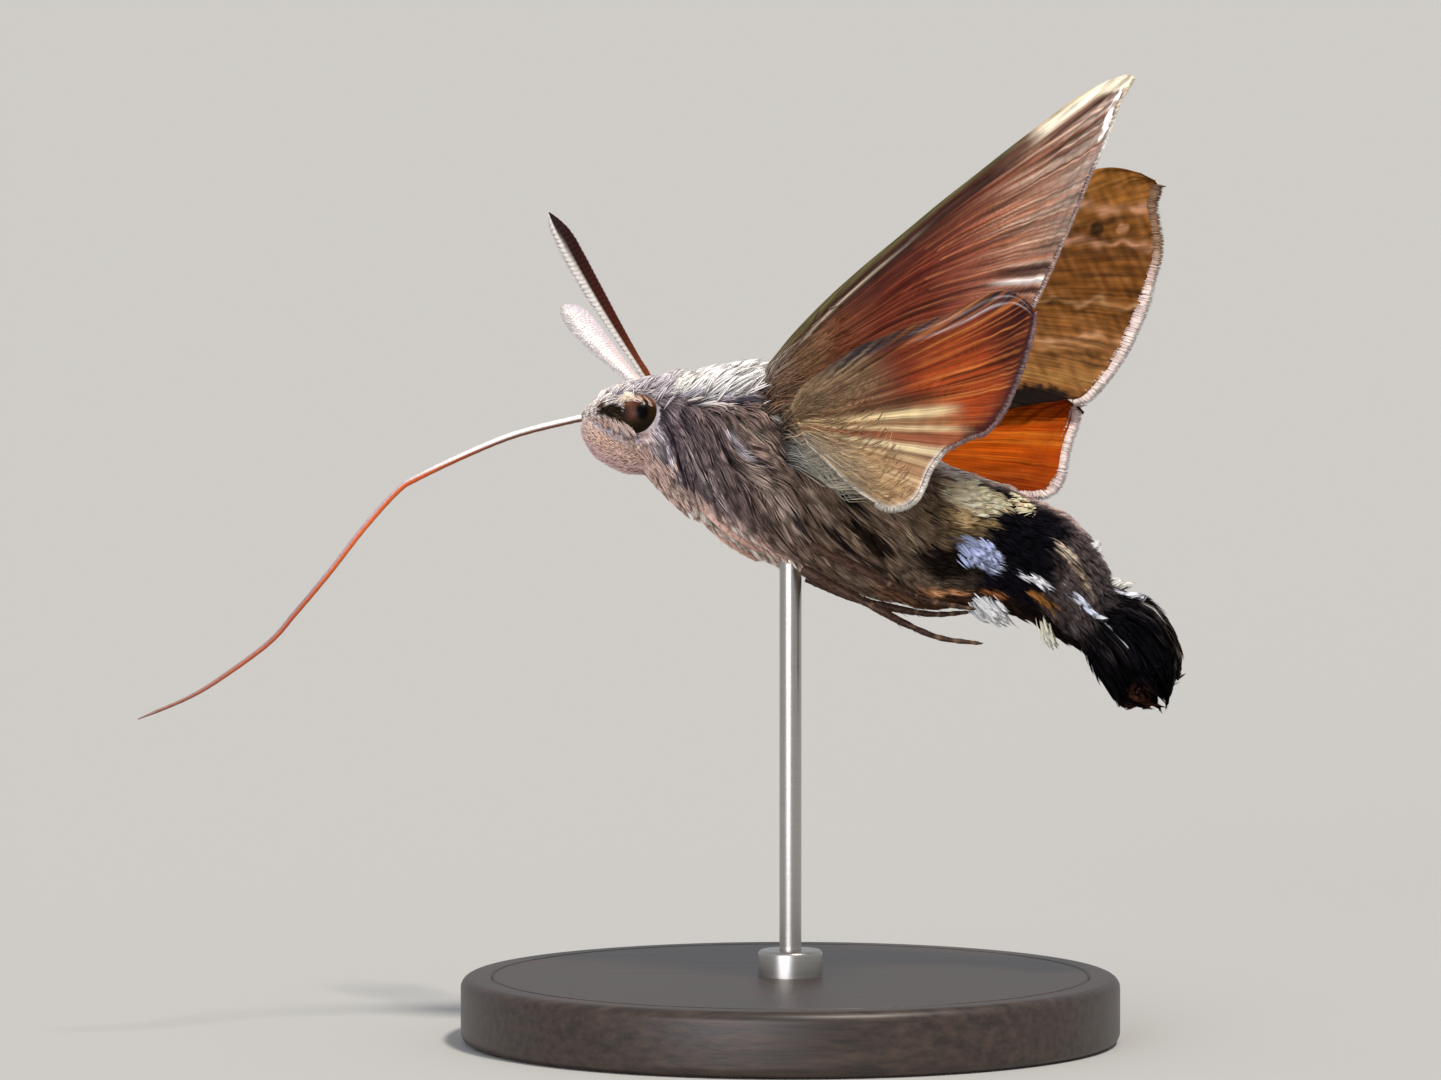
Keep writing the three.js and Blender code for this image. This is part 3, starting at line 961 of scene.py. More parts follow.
BODY_MARKS = tuple(Mark(*row) for row in (
    # Head: crown, the stripe through the eye, brow, and the pale band below
    (2.6, 48, 0.7, 0.22, 8, "#b9b4c2"),
    (3.9, 32, 0.5, 0.5, 0, "#b9b2bb"),
    (1.3, 60, 0.5, 0.4, 0, "#e8dad2"),
    (3.25, 60, 0.75, 0.12, 8, "#80798f"),
    (2.45, 91, 0.68, 0.3, 3, "#25241a", 0.3, 0.12),
    (2.55, 98, 0.7, 0.26, 30, "#2e231a", 0.3, 0.12),
    (3.1, 108, 0.5, 0.1, 30, "#5a4238", 0.4, 0.15),
    (1.75, 78, 0.18, 0.14, 0, "#523626"),
    (3.1, 74, 0.36, 0.1, -50, "#efe3c6", 0.25, 0.1),
    (1.35, 128, 0.3, 0.16, 0, "#dcd4da"),
    (3.2, 128, 0.95, 0.24, -10, "#cdbfc6"),
    (3.95, 172, 0.2, 0.2, 0, "#e0dbe2"),
    (4.62, 84, 1.15, 0.14, 90, "#d9ced6"),
    (4.95, 88, 1.2, 0.15, 85, "#5c525a"),
    # Shoulders: white and cream tufts over grey; the white is partly their own pale colour and partly a
    # painted highlight on the top of the thorax
    (6.7, 52, 2.0, 0.3, 2, "#b4b0ba"),
    (5.35, 44, 0.75, 0.4, -28, "#f3ece2", 0.2),
    (6.1, 40, 0.7, 0.35, -22, "#efe8e2", 0.2),
    (7.4, 37, 1.9, 0.95, -6, "#fffaf4", 0.2),
    (6.6, 63, 1.5, 0.15, 2, "#ded4cf"),
    (7.8, 61, 0.9, 0.24, -8, "#504c58"),
    (8.3, 68, 0.6, 0.2, 0, "#a88c80"),
    # Side pile: pale and dark streaks along its lie, with painted highlights on the swirl and painted shade
    # in gaps and under the wing
    (5.35, 112, 1.6, 0.1, 74, "#3a3034"),
    (5.15, 122, 1.0, 0.2, 74, "#d6cad0"),
    (5.7, 84, 0.35, 0.22, 60, "#3c3439"),
    (5.95, 110, 1.3, 0.16, 66, "#b4a6a2"),
    (6.35, 122, 1.4, 0.11, 60, "#403438"),
    (6.7, 132, 1.2, 0.18, 55, "#d0bab8"),
    (7.2, 108, 2.3, 0.11, 62, "#3c3236"),
    # Painted highlights: pale blue-grey strokes on the swirl
    (7.5, 94, 1.2, 0.2, 42, "#b8b0b6"),
    (7.9, 106, 0.9, 0.14, 50, "#cac4cc"),
    (8.2, 99, 0.5, 0.16, 35, "#3a3135"),
    (8.4, 88, 1.4, 0.16, 28, "#b5a494"),
    (8.8, 92, 1.5, 0.09, 32, "#3c3130"),
    (8.6, 120, 1.9, 0.55, 45, "#b8a296"),
    # Painted shade in a gap between the locks
    (9.5, 133, 1.7, 0.13, 36, "#30272a"),
    (8.4, 143, 1.6, 0.09, 38, "#4e3c38"),
    (9.9, 112, 1.2, 0.2, 40, "#a89486"),
    # Painted shade under the wing: a near-black patch
    (10.9, 104, 1.3, 0.4, 42, "#221c1d"),
    (10.6, 130, 1.6, 0.18, 26, "#2a211f"),
    (11.4, 121, 1.5, 0.55, 20, "#2b211a"),
    (11.2, 110, 1.1, 0.14, 22, "#8d7862"),
    (9.3, 125, 0.5, 0.2, 50, "#2a2226"),
    (11.6, 140, 1.3, 0.16, 14, "#33261f"),
    # The pale tuft under the wing's root, and olive fuzz behind it
    (9.6, 77, 1.4, 0.5, 22, "#a6a9a2", 0.35),
    (10.5, 86, 1.3, 0.4, 28, "#b0aa88", 0.35),
    (9.8, 50, 1.5, 0.9, 0, "#a2866c"),
    # Abdomen: pale rings and side tufts above, painted rim light along the top, black bands, white tufts low
    # down
    (12.75, 82, 1.5, 0.1, 88, "#a69a8c"),
    (12.4, 108, 0.4, 0.18, 80, "#bfae88"),
    (13.3, 90, 1.6, 1.2, 0, "#7a6650"),
    (13.15, 76, 1.4, 0.07, 88, "#463a30"),
    (13.5, 120, 1.6, 0.9, 0, "#1d1713"),
    (13.6, 152, 1.15, 0.3, 0, "#eaa674"),
    (14.3, 58, 1.5, 0.95, 4, "#ffe9c0", 0.15, 0.12),
    (14.2, 82, 1.2, 0.35, 4, "#a88e62", 0.3, 0.25),
    # Painted rim light: a pale patch along the top of the abdomen
    (13.4, 18, 1.9, 1.1, 0, "#e8d6cc", 0.3),
    (16.4, 14, 2.4, 0.5, 0, "#d8bcb4", 0.4),
    (15.75, 72, 0.5, 1.2, 20, "#16131a", 0.2, 0.1),
    (14.1, 93, 1.1, 0.3, 0, "#7c684a"),
    (15.3, 150, 0.5, 0.22, 0, "#a86c3e"),
    (16.3, 92, 1.4, 1.4, 0, "#0e0d13", 0.2),
    (16.0, 48, 0.35, 0.25, 15, "#e8dab6", 0.2),
    (16.7, 60, 1.0, 0.7, 10, "#15131a", 0.25),
    (17.4, 134, 0.9, 0.3, 0, "#a06c38"),
    (17.3, 160, 1.4, 0.45, 0, "#15100e"),
    (14.8, 110, 1.05, 0.6, 36, "#b2bbdc", 0.15, 0.2),
    (16.9, 117, 0.9, 0.17, -6, "#dfdde6", 0.2, 0.3),
    (17.7, 75, 0.5, 0.3, 10, "#c9b6a0"),
    (18.6, 84, 0.8, 0.2, 10, "#8d7c68", 0.4, 0.3),
    (19.2, 103, 0.9, 0.15, -14, "#d4daf0", 0.2, 0.2),
    (20.6, 33, 0.8, 0.14, -4, "#ccd0da", 0.25, 0.2),
    (22.3, 38, 1.4, 0.16, 0, "#8c7b6a", 0.4, 0.4),
))


@dataclass
class Pelt:
    """The rules of the moth's coat: its depth, length, lie and colours."""

    trunk: Trunk
    depth_rows: Rows = (
        (0, 0.1), (1.5, 0.18), (3, 0.26), (4.5, 0.38), (5.5, 0.55), (8, 0.7), (12, 0.55), (13, 0.4),
        (18, 0.4), (19.5, 0.5), (21, 0.95), (23, 1.2),
    )
    length_rows: Rows = (
        (0, 0.3), (2, 0.42), (4, 0.6), (5, 1.1), (6.5, 1.8), (9, 2.1), (12, 1.7), (13, 1.25),
        (17, 1.05), (19, 0.95), (20, 1.3), (25, 2.2),
    )
    side_lie: Rows = (
        (3.8, 0), (4.6, 35), (5, 64), (6, 62), (7.5, 52), (9, 42), (11, 28), (12.6, 12), (14, 5), (20, 0),
    )
    band_rows: Rows = ((3.6, 122), (5.75, 148), (7.25, 151), (8.9, 163), (10.25, 173), (11.5, 184))
    clump_tone: float = 0.2

    def depth(self, station: Array) -> Array:
        """The coat's depth, in mm."""
        return run(self.depth_rows, station)

    def length(self, station: Array, angle: Array) -> Array:
        """The locks' length, in mm: short velvet along the lower edge."""
        velvet = ramp(-8, 8, np.abs(angle) - run(self.band_rows, station)) * (station > 3.5)
        return run(self.length_rows, station) * (1 - 0.62 * velvet)

    def lie(self, station: Array, angle: Array) -> Array:
        """Which way the coat lies, in degrees: 0 runs back, 90 towards the belly.

        Args:
            station: Sections.
            angle: Angles from the back.

        Returns:
            The lie at each place.
        """
        down = np.abs(angle)
        flank = ramp(48, 76, down) * (1 - 0.8 * ramp(138, 166, down))
        crest = ramp(10, 30, down) * fall(48, 66, down) * ramp(4.6, 5.4, station) * fall(9, 11, station)
        swirl = np.exp(-(((station - 7.7) / 0.75) ** 2) - ((down - 97) / 12) ** 2)
        # Hair of the lower face falls over the palps
        cheek = ramp(94, 108, down) * fall(145, 165, down) * ramp(0.8, 1.6, station) * fall(3.2, 4, station)
        folds = ripple(np.column_stack((station, down / 14)), 1.9, 21)
        side = run(self.side_lie, station) * flank
        return side - 20 * crest - 42 * swirl + 8 * folds * ramp(4, 6, station) + 40 * cheek

    def base_colours(self, station: Array, down: Array) -> Array:
        """The coat's ground colour before its marks.

        Args:
            station: Sections.
            down: Angles from the back, either side alike.

        Returns:
            Linear colours.
        """
        side = gradient(
            [
                (0, "#f0e2dc"), (2.5, "#ecdeda"), (4.4, "#d6c8ca"), (4.9, "#7a6c73"), (6.6, "#7e6e6c"),
                (8, "#8c776e"), (10, "#86705f"), (12.2, "#86715f"), (14, "#5c4c3e"), (15, "#16131b"),
                (17, "#121016"), (17.9, "#5a4f4d"), (19.6, "#584e4e"), (20.4, "#0d0c10"), (25, "#0a090d"),
            ],
            station,
        )
        back = gradient(
            [
                (0, "#f0e2dc"), (3, "#ecdfdd"), (5, "#d0c7ca"), (7, "#a49b96"), (11, "#8f8172"),
                (12.2, "#bcaa9a"), (14, "#d8c4b6"), (16.4, "#ccb4ac"), (18, "#a09092"), (19.8, "#7d7274"),
                (20.5, "#17141a"), (25, "#0c0b0f"),
            ],
            station,
        )
        belly = gradient(
            [
                (0, "#d4b0a4"), (4, "#e6c2b4"), (7, "#f4d0c2"), (9.5, "#f0c6b2"), (10.8, "#9a7258"),
                (13, "#543c2b"), (16, "#2e2018"), (19, "#1c1512"), (20.5, "#0c0b0f"), (25, "#0a090d"),
            ],
            station,
        )
        top = fall(22, 52, down + 8 * ramp(12, 14, station))
        velvet = ramp(-7, 7, down - run(self.band_rows, station))
        low = np.where(station > 11.5, ramp(140, 165, down), velvet)
        face = ramp(96, 116, down) * fall(3.6, 4.6, station)
        colours = side + (back - side) * top[:, None]
        return colours + (belly - colours) * np.maximum(low, face)[:, None]

    def colours(self, station: Array, angle: Array, points: Array) -> Array:
        """The coat's colour with its marks.

        Args:
            station: Sections.
            angle: Angles from the back.
            points: The same places in the moth's frame.

        Returns:
            Linear colours.
        """
        down = np.abs((angle + 180) % 360 - 180)
        depth, width = self.trunk.half_sizes(station)
        middle = np.clip(station, 0.5, TAIL_END - 0.5)
        gap = curve_through(SECTIONS, middle + 0.5)[:, :2] - curve_through(SECTIONS, middle - 0.5)[:, :2]
        pace = np.linalg.norm(gap, axis=1)
        degree = (depth + width) / 2 * math.pi / 180
        noise = ripple(points, 0.55, 31)
        colours = self.base_colours(station, down)
        # No mark reaches further than this many mm from its middle
        reach = 4
        for item in BODY_MARKS:
            along, round_ = (station - item.at) * pace, (down - item.across) * degree
            near = (np.abs(along) < reach) & (np.abs(round_) < reach)
            colours = mixed(colours, item.colour, np.where(near, item.weight(along, round_, noise), 0))
        side = ramp(4.4, 5.2, station) * fall(11.8, 12.8, station) * ramp(52, 64, down)
        clumps = np.clip(ripple(points * np.array([0.7, 1, 1]), 0.9, 37), -1.6, 1.6)
        return colours * np.exp(self.clump_tone * clumps * side)[:, None]


# The moth's parts

EYE_AT = np.array([-5.5, 1.55, 2.05])
EYE_RADIUS = 0.92


def eye_distance(points: Array) -> Array:
    """Distance to the nearer eye's middle, in radii of the eye."""
    gaps = [np.linalg.norm(points - side.mirrored(EYE_AT), axis=-1) for side in Side]
    return np.minimum(*gaps) / EYE_RADIUS


def clear_of_eyes(points: Array) -> Array:
    """Pushes places that are inside an eye out to its surface.

    Args:
        points: Places, one row each.

    Returns:
        The same places, moved where they were inside.
    """
    for side in Side:
        centre = side.mirrored(EYE_AT)
        away = points - centre
        far = np.linalg.norm(away, axis=-1, keepdims=True)
        points = np.where(far < EYE_RADIUS, centre + away / np.maximum(far, 1e-6) * EYE_RADIUS, points)
    return points


@dataclass
class Sprouts:
    """Locks laid over a form."""

    path: Array
    rise: Array
    at: Array


@dataclass
class Thatch:
    """Lays locks over a form, with its own random numbers."""

    form: Form
    seed: int

    def __post_init__(self) -> None:
        """Starts the random numbers."""
        self.rng = np.random.default_rng(SEED + self.seed)

    def lay(self, roots: Arrays, lie: Callable[[Array, Array], Array], length: Array,
            heights: Arrays, shape: LockShape, turn: Array,
            limits: Two) -> Sprouts:
        """Runs each lock over the form from its root.

        Args:
            roots: The two numbers of each root.
            lie: Gives the lie, in degrees, for those two numbers.
            length: Each lock's length.
            heights: Each lock's height over the outline at its root and at its tip.
            shape: The lock that is bent.
            turn: How far each lock turns from the lie, in degrees.
            limits: Lowest and highest first number a lock may reach.

        Returns:
            The locks.
        """
        a, b = (np.array(values) for values in roots)
        down = np.where(b < 0, -1.0, 1.0)
        path, rise, at = [], [], []
        for i, level in enumerate(shape.levels):
            height = heights[0] + (heights[1] - heights[0]) * (1 - (1 - level) ** 1.8)
            if i:
                step = length * (level - shape.levels[i - 1])
                heading = np.radians(lie(a, b) + turn)
                first, second = self.form.runs(a, b, height)
                pace = np.maximum(np.linalg.norm(first, axis=1), 1e-3)
                degree = np.maximum(np.linalg.norm(second, axis=1), 1e-3)
                a = np.clip(a + step * np.cos(heading) / pace, *limits)
                b = b + down * step * np.sin(heading) / degree
            path.append(self.form.place(a, b, height))
            rise.append(self.form.outward(a, b, height))
            at.append(np.column_stack((a, b)))
        return Sprouts(np.stack(path, 1), np.stack(rise, 1), np.stack(at, 1))


@dataclass(frozen=True)
class Stretch:
    """One stretch of the coat on the trunk.

    Its spans are the sections and angles it covers, its widths in mm. Gather is how many
    locks make one clump, pull how far their tips are drawn together, stray how far clumps
    turn from the lie in degrees, tips the least and greatest height as shares of the coat's
    depth, uneven how much clumps differ in shade, and shadow the shade of a lock's root.
    """

    name: str
    slot: str
    locks: int
    spans: tuple[Two, Two]
    width: Two
    gather: float
    pull: float
    stray: float
    tips: Two
    seed: int
    shape: LockShape
    uneven: float
    shadow: float


@dataclass(frozen=True)
class Bundle:
    """A tuft that breaks the outline, on both sides of the body.

    Its middle is a section and an angle across, spread and fan are its spread in each.
    Lift is the tips' height over the outline in mm, and its lie runs from 0 back to 90
    towards the belly.
    """

    at: float
    across: float
    spread: float
    fan: float
    locks: int
    length: float
    lift: float
    lie: float
    colour: str


BUNDLES = tuple(Bundle(*row) for row in (
    # Crown and neck
    (1.7, 44, 0.3, 12, 60, 0.45, 0.12, -20, "#ece2dc"),
    (2.7, 38, 0.35, 14, 80, 0.5, 0.14, -25, "#e9e0de"),
    (3.6, 30, 0.4, 14, 80, 0.6, 0.16, -25, "#ddd5d8"),
    (4.7, 30, 0.25, 14, 110, 0.9, 0.3, -35, "#cfc8cc"),
    (2.85, 75, 0.14, 3, 60, 0.5, 0.2, -38, "#f2e0cc"),
    (4.3, 156, 0.45, 15, 230, 1.0, 0.2, 12, "#dcbcb0"),
    # White tufts of the shoulders, their white partly a painted highlight on the top of the thorax
    (5.3, 42, 0.22, 7, 120, 1.3, 0.28, -34, "#fbf4ea"),
    (6.0, 36, 0.3, 8, 150, 1.7, 0.3, -30, "#f7f0e8"),
    (6.7, 33, 0.5, 10, 260, 2.0, 0.36, -16, "#fffaf4"),
    (7.8, 34, 0.45, 9, 240, 1.7, 0.42, -8, "#fff8f0"),
    # White tufts under the abdomen
    (14.85, 166, 0.24, 5, 260, 1.15, 0.7, 2, "#ffffff"),
    (17.5, 170, 0.14, 6, 150, 0.8, 0.55, 0, "#fff6da"),
    # Small white tufts above, over the fan's root
    (18.3, 26, 0.1, 5, 36, 0.7, 0.4, -24, "#f4f6f2"),
    (19.75, 16, 0.1, 6, 40, 0.85, 0.5, -26, "#f2ece0"),
    (20.1, 36, 0.3, 5, 70, 1.1, 0.1, -4, "#dde0e8"),
    # Side tufts of the abdomen
    (14.3, 101, 0.25, 4.5, 300, 1.15, 0.12, 36, "#b4bee2"),
    (16.4, 117, 0.35, 1.5, 70, 0.8, 0.08, -4, "#f4f2f8"),
    (18.7, 106, 0.4, 1.5, 80, 1.2, 0.1, -14, "#dde3f5"),
    (13.8, 57, 0.22, 10, 560, 1.3, 0.1, 4, "#ffe9c4"),
    (13.75, 78, 0.22, 5, 130, 1.1, 0.06, 6, "#c8ac80"),
    (13.0, 20, 0.5, 10, 130, 1.0, 0.1, 2, "#ead8ce"),
    (2.75, 107, 0.25, 2.0, 44, 0.95, 0.03, 36, "#ccb4a8"),
    (3.0, 69, 0.35, 2.5, 60, 0.55, 0.12, 20, "#cbb4a8"),
    (15.5, 44, 0.2, 7, 130, 0.7, 0.1, 14, "#ffe9c4"),
    (11.7, 70, 0.3, 12, 90, 1.1, 0.15, 20, "#9c8d77"),
))


@dataclass
class Body:
    """The moth's skin and the coat over it."""

    fur: Any
    skin: Any
    trunk: Trunk = field(default_factory=Trunk)
    skin_length: float = 22.4
    skin_grain_mm: float = 0.14
    socket_mm: float = 0.08
    palp_skin_mm: float = 0.14
    palp_locks: int = 3000
    fan_locks: int = 7000
    fan_clumps: int = 230
    head_span: Two = (0.02, 5.2)
    thorax_span: Two = (4.7, 12.9)
    abdomen_span: Two = (12.2, 20.6)

    def __post_init__(self) -> None:
        """Sets the coat's rules."""
        self.pelt = Pelt(self.trunk)

    def bed(self, station: Array, angle: Array) -> Array:
        """Depth of the skin under the outline, deeper round the eyes.

        Args:
            station: Sections.
            angle: Angles from the back.

        Returns:
            A depth for each place, in mm.
        """
        depth = self.pelt.depth(station)
        far = eye_distance(self.trunk.place(station, angle, -depth))
        return depth + self.socket_mm * fall(1.0, 1.3, far)

    def build_skin(self) -> None:
        """Makes one closed skin for head, palps, thorax, abdomen and the fan's core."""

        def trunk_place(u: Array, v: Array) -> Arrays:
            """Places and colours of the trunk's skin.

            Args:
                u: Shares along.
                v: Shares round.

            Returns:
                Places and colours.
            """
            station, angle = u * self.skin_length, v * 360 - 180
            points = self.trunk.place(station, angle, -self.bed(station, angle))
            # The skin is painted at half the coat's colour: painted shade under the coat, so that gaps
            # between locks look dark
            return points, self.pelt.colours(station, angle, points) * 0.5

        def palp_place(palp: Palp) -> Painter:
            """The places and colours of one palp's skin.

            Args:
                palp: The palp.

            Returns:
                A painter that takes shares along and round.
            """
            # The palp's skin is painted darker than its fur: painted shade under the coat
            return lambda u, v: (
                palp.place(u, v * 360, np.full(len(u), -self.palp_skin_mm)), palp_colours(u, v * 360) * 0.6
            )

        parts = [wrapped(150, 64, trunk_place), *(wrapped(24, 20, palp_place(Palp(side))) for side in Side)]
        self.join_skin(parts)

    def join_skin(self, parts: Sequence[Any]) -> None:
        """Melts the parts of the skin into one surface that keeps their colours.

        Args:
            parts: Their meshes.
        """
        bm = bmesh.new()
        for part in parts:
            bm.from_mesh(part)
        rough = mesh_from(bm, "parts")
        places = corners_of(rough)
        flat = np.zeros(len(places) * 4, np.float32)
        rough.attributes["marks"].data.foreach_get("color", flat)
        colours = flat.reshape(-1, 4)[:, :3]
        holder = placed("parts", rough)
        melt = holder.modifiers.new("melt", "REMESH")
        melt.mode = "VOXEL"
        melt.voxel_size = self.skin_grain_mm * MM
        graph = bpy.context.evaluated_depsgraph_get()
        melted = bpy.data.meshes.new_from_object(holder.evaluated_get(graph))
        bpy.data.objects.remove(holder)
        for name in [item.name for item in melted.attributes if item.name in ("marks", "strand")]:
            melted.attributes.remove(melted.attributes[name])
        bm = bmesh.new()
        bm.from_mesh(melted)
        bpy.data.meshes.remove(melted)
        axes = {"use_axis_x": True, "use_axis_y": True, "use_axis_z": True}
        bmesh.ops.smooth_vert(bm, verts=bm.verts[:], factor=0.5, **axes)
        smooth(bm)
        mesh = mesh_from(bm, "skin")
        corners = corners_of(mesh)
        mark(mesh, colours[nearest_of(corners, places)], corners[:, :2] / (30 * MM))
        nodes = ("head", "palp_left", "palp_right", "thorax", "abdomen", "tail_fan")
        finish_piece(mesh, "body_skin", self.skin, "thorax_coat", nodes)

    def clear_roots(self, roots: Arrays) -> Arrays:
        """Drops the roots that would lie inside an eye.

        Args:
            roots: Sections and angles of the roots.

        Returns:
            Those that are kept.
        """
        a, b = roots
        kept = eye_distance(self.trunk.place(a, b, -self.pelt.depth(a))) > 1.02
        return a[kept], b[kept]

    def grow(self, thatch: Thatch, roots: Arrays, turn: Array, bulk: Array, long: Array,
             shape: LockShape) -> Sprouts:
        """Lays locks over the trunk from the coat's rules.

        Args:
            thatch: What lays them.
            roots: Sections and angles of their roots.
            turn: How far each turns from the lie, in degrees.
            bulk: Height of each tip, as a share of the coat's depth.
            long: Factor on each one's length.
            shape: The lock.

        Returns:
            The locks.
        """
        a, b = roots
        bed = self.bed(a, b)
        far = eye_distance(self.trunk.place(a, b, -bed))
        tier = (a % 1.0 - 0.5) * ramp(12.6, 13.2, a) * fall(19.2, 19.8, a)
        raised = (bulk + 0.3 * tier) * ramp(0.7, 1.25, far)
        heights = (-bed - 0.04, -bed + self.pelt.depth(a) * raised)
        length = self.pelt.length(a, b) * long
        return thatch.lay(roots, self.pelt.lie, length, heights, shape, turn, (0.0, TAIL_END))

    def coat(self, item: Stretch) -> None:
        """Covers one stretch of the trunk with locks that are drawn into clumps.

        Args:
            item: The stretch.
        """
        thatch = Thatch(self.trunk, item.seed)
        rng, shape = thatch.rng, item.shape
        roots = self.clear_roots(self.trunk.scatter(item.locks, item.spans, rng))
        guides = self.clear_roots(self.trunk.scatter(int(item.locks / item.gather), item.spans, rng))
        clump = nearest_of(*(self.trunk.place(a, b, -self.pelt.depth(a)) for a, b in (roots, guides)))
        count, size = len(guides[0]), len(clump)
        turn = rng.normal(0, item.stray, count)
        bulk = rng.uniform(*item.tips, count)
        long = rng.uniform(0.72, 1.18, count)
        shade = rng.normal(0, item.uneven, count)
        guide = self.grow(thatch, guides, turn, bulk, long, shape)
        locks = self.grow(
            thatch, roots, turn[clump] + rng.normal(0, 4, size), bulk[clump] + rng.normal(0, 0.06, size),
            long[clump] * rng.uniform(0.85, 1.1, size), shape,
        )
        draw = item.pull * shape.levels ** 1.3
        path = clear_of_eyes(locks.path + draw[:, None] * (guide.path[clump] - locks.path))
        middle = len(shape.levels) // 2
        colours = self.pelt.colours(*locks.at[:, middle].T, path[:, middle])
        # Clumps that stand higher are painted paler: a painted highlight where their tips catch the light
        tone = np.exp(shade[clump] + 0.35 * (bulk[clump] - 0.8) + rng.normal(0, 0.14, size))[:, None]
        low, high = np.array(item.spans, float).T
        patch = (np.column_stack(roots) - low) / (high - low)
        # Roots are painted darker than tips by the stretch's shadow: painted shade deep in the coat
        width, tip = rng.uniform(*item.width, size), np.minimum(colours * tone * 1.18, 0.95)
        made = Locks(path, locks.rise, width, colours * tone * item.shadow, tip, patch)
        finish_piece(made.mesh(shape, 0.4, rng.normal(0, 0.3, size)), item.name, self.fur, item.slot)

    def build_palp_coat(self, side: Side) -> None:
        """Covers one palp with close fur.

        Args:
            side: Which palp.
        """
        palp = Palp(side)
        thatch = Thatch(palp, 40 + side.value)
        rng, count = thatch.rng, self.palp_locks
        a, b = palp.scatter(count, ((0.0, 0.99), (0.0, 360.0)), rng)
        heights = (np.full(count, -0.15), rng.uniform(-0.08, 0.02, count))
        length = rng.uniform(0.22, 0.36, count)
        turn = rng.normal(0, 10, count)
        sprouts = thatch.lay(
            (a, b), lambda _, angle: 0.0 * angle, length, heights, SHORT_LOCK, turn, (0.0, 1.0)
        )
        colours = palp_colours(a, b) * tones(rng, 0.09, count)
        path, width = clear_of_eyes(sprouts.path), rng.uniform(0.045, 0.07, count)
        # Roots are painted darker than tips: painted shade deep in the fur
        patch, tip = np.column_stack((a, b / 360)), np.minimum(colours * 1.12, 0.95)
        mesh = Locks(path, sprouts.rise, width, colours * 0.78, tip, patch).mesh(
            SHORT_LOCK, 0.35, rng.normal(0, 0.3, count)
        )
        finish_piece(mesh, f"coat_palp_{side.word}", self.fur, "head_coat")

    def sweep_fan(self, start: Array, angle: Array, core: Array, reach: Array, ragged: Array) -> Array:
        """Runs long locks through the fan, from its root to its end.

        Args:
            start: Section of each root.
            angle: Angle of each lock from the back.
            core: How far out from the fan's middle each lies, as a share.
            reach: How many sections each reaches.
            ragged: How far each falls short of the fan's end, or passes it, in sections.

        Returns:
            The paths.
        """
        limit = np.clip(TAIL_END - 1.5 * core**2 + ragged, start + 0.5, TAIL_END)
        flat = np.zeros(len(start))

        def at(level: float) -> Array:
            """Places at one share of the locks' length.

            Args:
                level: A share of the length.

            Returns:
                Places.
            """
            station = np.minimum(start + reach * level, limit)
            middle = curve_through(SECTIONS, station)
            middle = np.column_stack((middle[:, 0], flat, middle[:, 1]))
            share = core * (0.82 + 0.2 * level)
            return middle + (self.trunk.place(station, angle, flat) - middle) * share[:, None]

        path = LONG_LOCK.trace(at)
        # Tips that reach the end run on past it a little, so that the end is ragged
        past = np.clip(ragged, 0, 1.4) * 0.55 * (start + reach > 24)
        path[:, -1] += unit(path[:, -1] - path[:, -2]) * past[:, None]
        return path

    def build_fan(self) -> None:
        """Makes the tail fan's long locks, gathered into ragged points."""
        rng, shape = np.random.default_rng(SEED + 60), LONG_LOCK

        def strew(count: int) -> tuple[Array, Array, Array]:
            """Sections, angles and shares out from the middle."""
            start = rng.uniform(19.5, 23.2, count)
            return start, rng.uniform(-180, 180, count), 1 - 0.62 * rng.uniform(0, 1, count) ** 1.7

        def spot(start: Array, angle: Array, core: Array) -> Array:
            """Where a lock lies in the fan, to find its clump."""
            turn = np.radians(angle)
            return np.column_stack((start * 0.8, core * np.cos(turn) * 2.2, core * np.sin(turn) * 3.4))

        clumps, count = self.fan_clumps, self.fan_locks
        guides, roots = strew(clumps), strew(count)
        clump = nearest_of(spot(*roots), spot(*guides))
        reach, ragged = rng.uniform(1.6, 2.9, clumps), rng.normal(-0.1, 0.75, clumps)
        start, angle, core = roots
        guide = self.sweep_fan(*guides, reach, ragged)
        path = self.sweep_fan(*roots, reach[clump] * rng.uniform(0.9, 1.1, count), ragged[clump])
        path = path + (0.72 * shape.levels**1.4)[:, None] * (guide[clump] - path)
        rise = shape.repeat(self.trunk.outward(start, angle, np.zeros(count)))
        outer = ramp(0.8, 1, core)
        colours = self.pelt.colours(np.minimum(start + 0.5, 20.6), angle, path[:, 0])
        dark = gradient([(0, "#030305"), (1, "#060509")], outer)
        colours = dark + (colours - dark) * (outer * fall(20.0, 20.5, start))[:, None]
        tone = tones(rng, 0.35, clumps)[clump]
        end = ramp(24.0, 24.8, start + reach[clump])
        low, high = ramp(95, 135, np.abs(angle)), fall(28, 55, np.abs(angle))
        tip = layered(
            colours,
            ("#7a4a38", 0.5 * end * low * (rng.uniform(0, 1, count) > 0.4)),
            ("#8a7867", 0.55 * high * outer * (rng.uniform(0, 1, count) > 0.55)),
            ("#352c31", 0.25 * (rng.uniform(0, 1, count) > 0.8)),
        )
        patch = np.column_stack(((start - 19.4) / 3.9, (angle + 180) / 360))
        # Roots are painted darker than tips: painted shade deep in the fan
        made = Locks(path, rise, rng.uniform(0.09, 0.17, count), colours * 0.6 * tone, tip * tone, patch)
        finish_piece(made.mesh(shape, 0.35, rng.normal(0, 0.4, count)), "coat_fan", self.fur, "fan_coat")

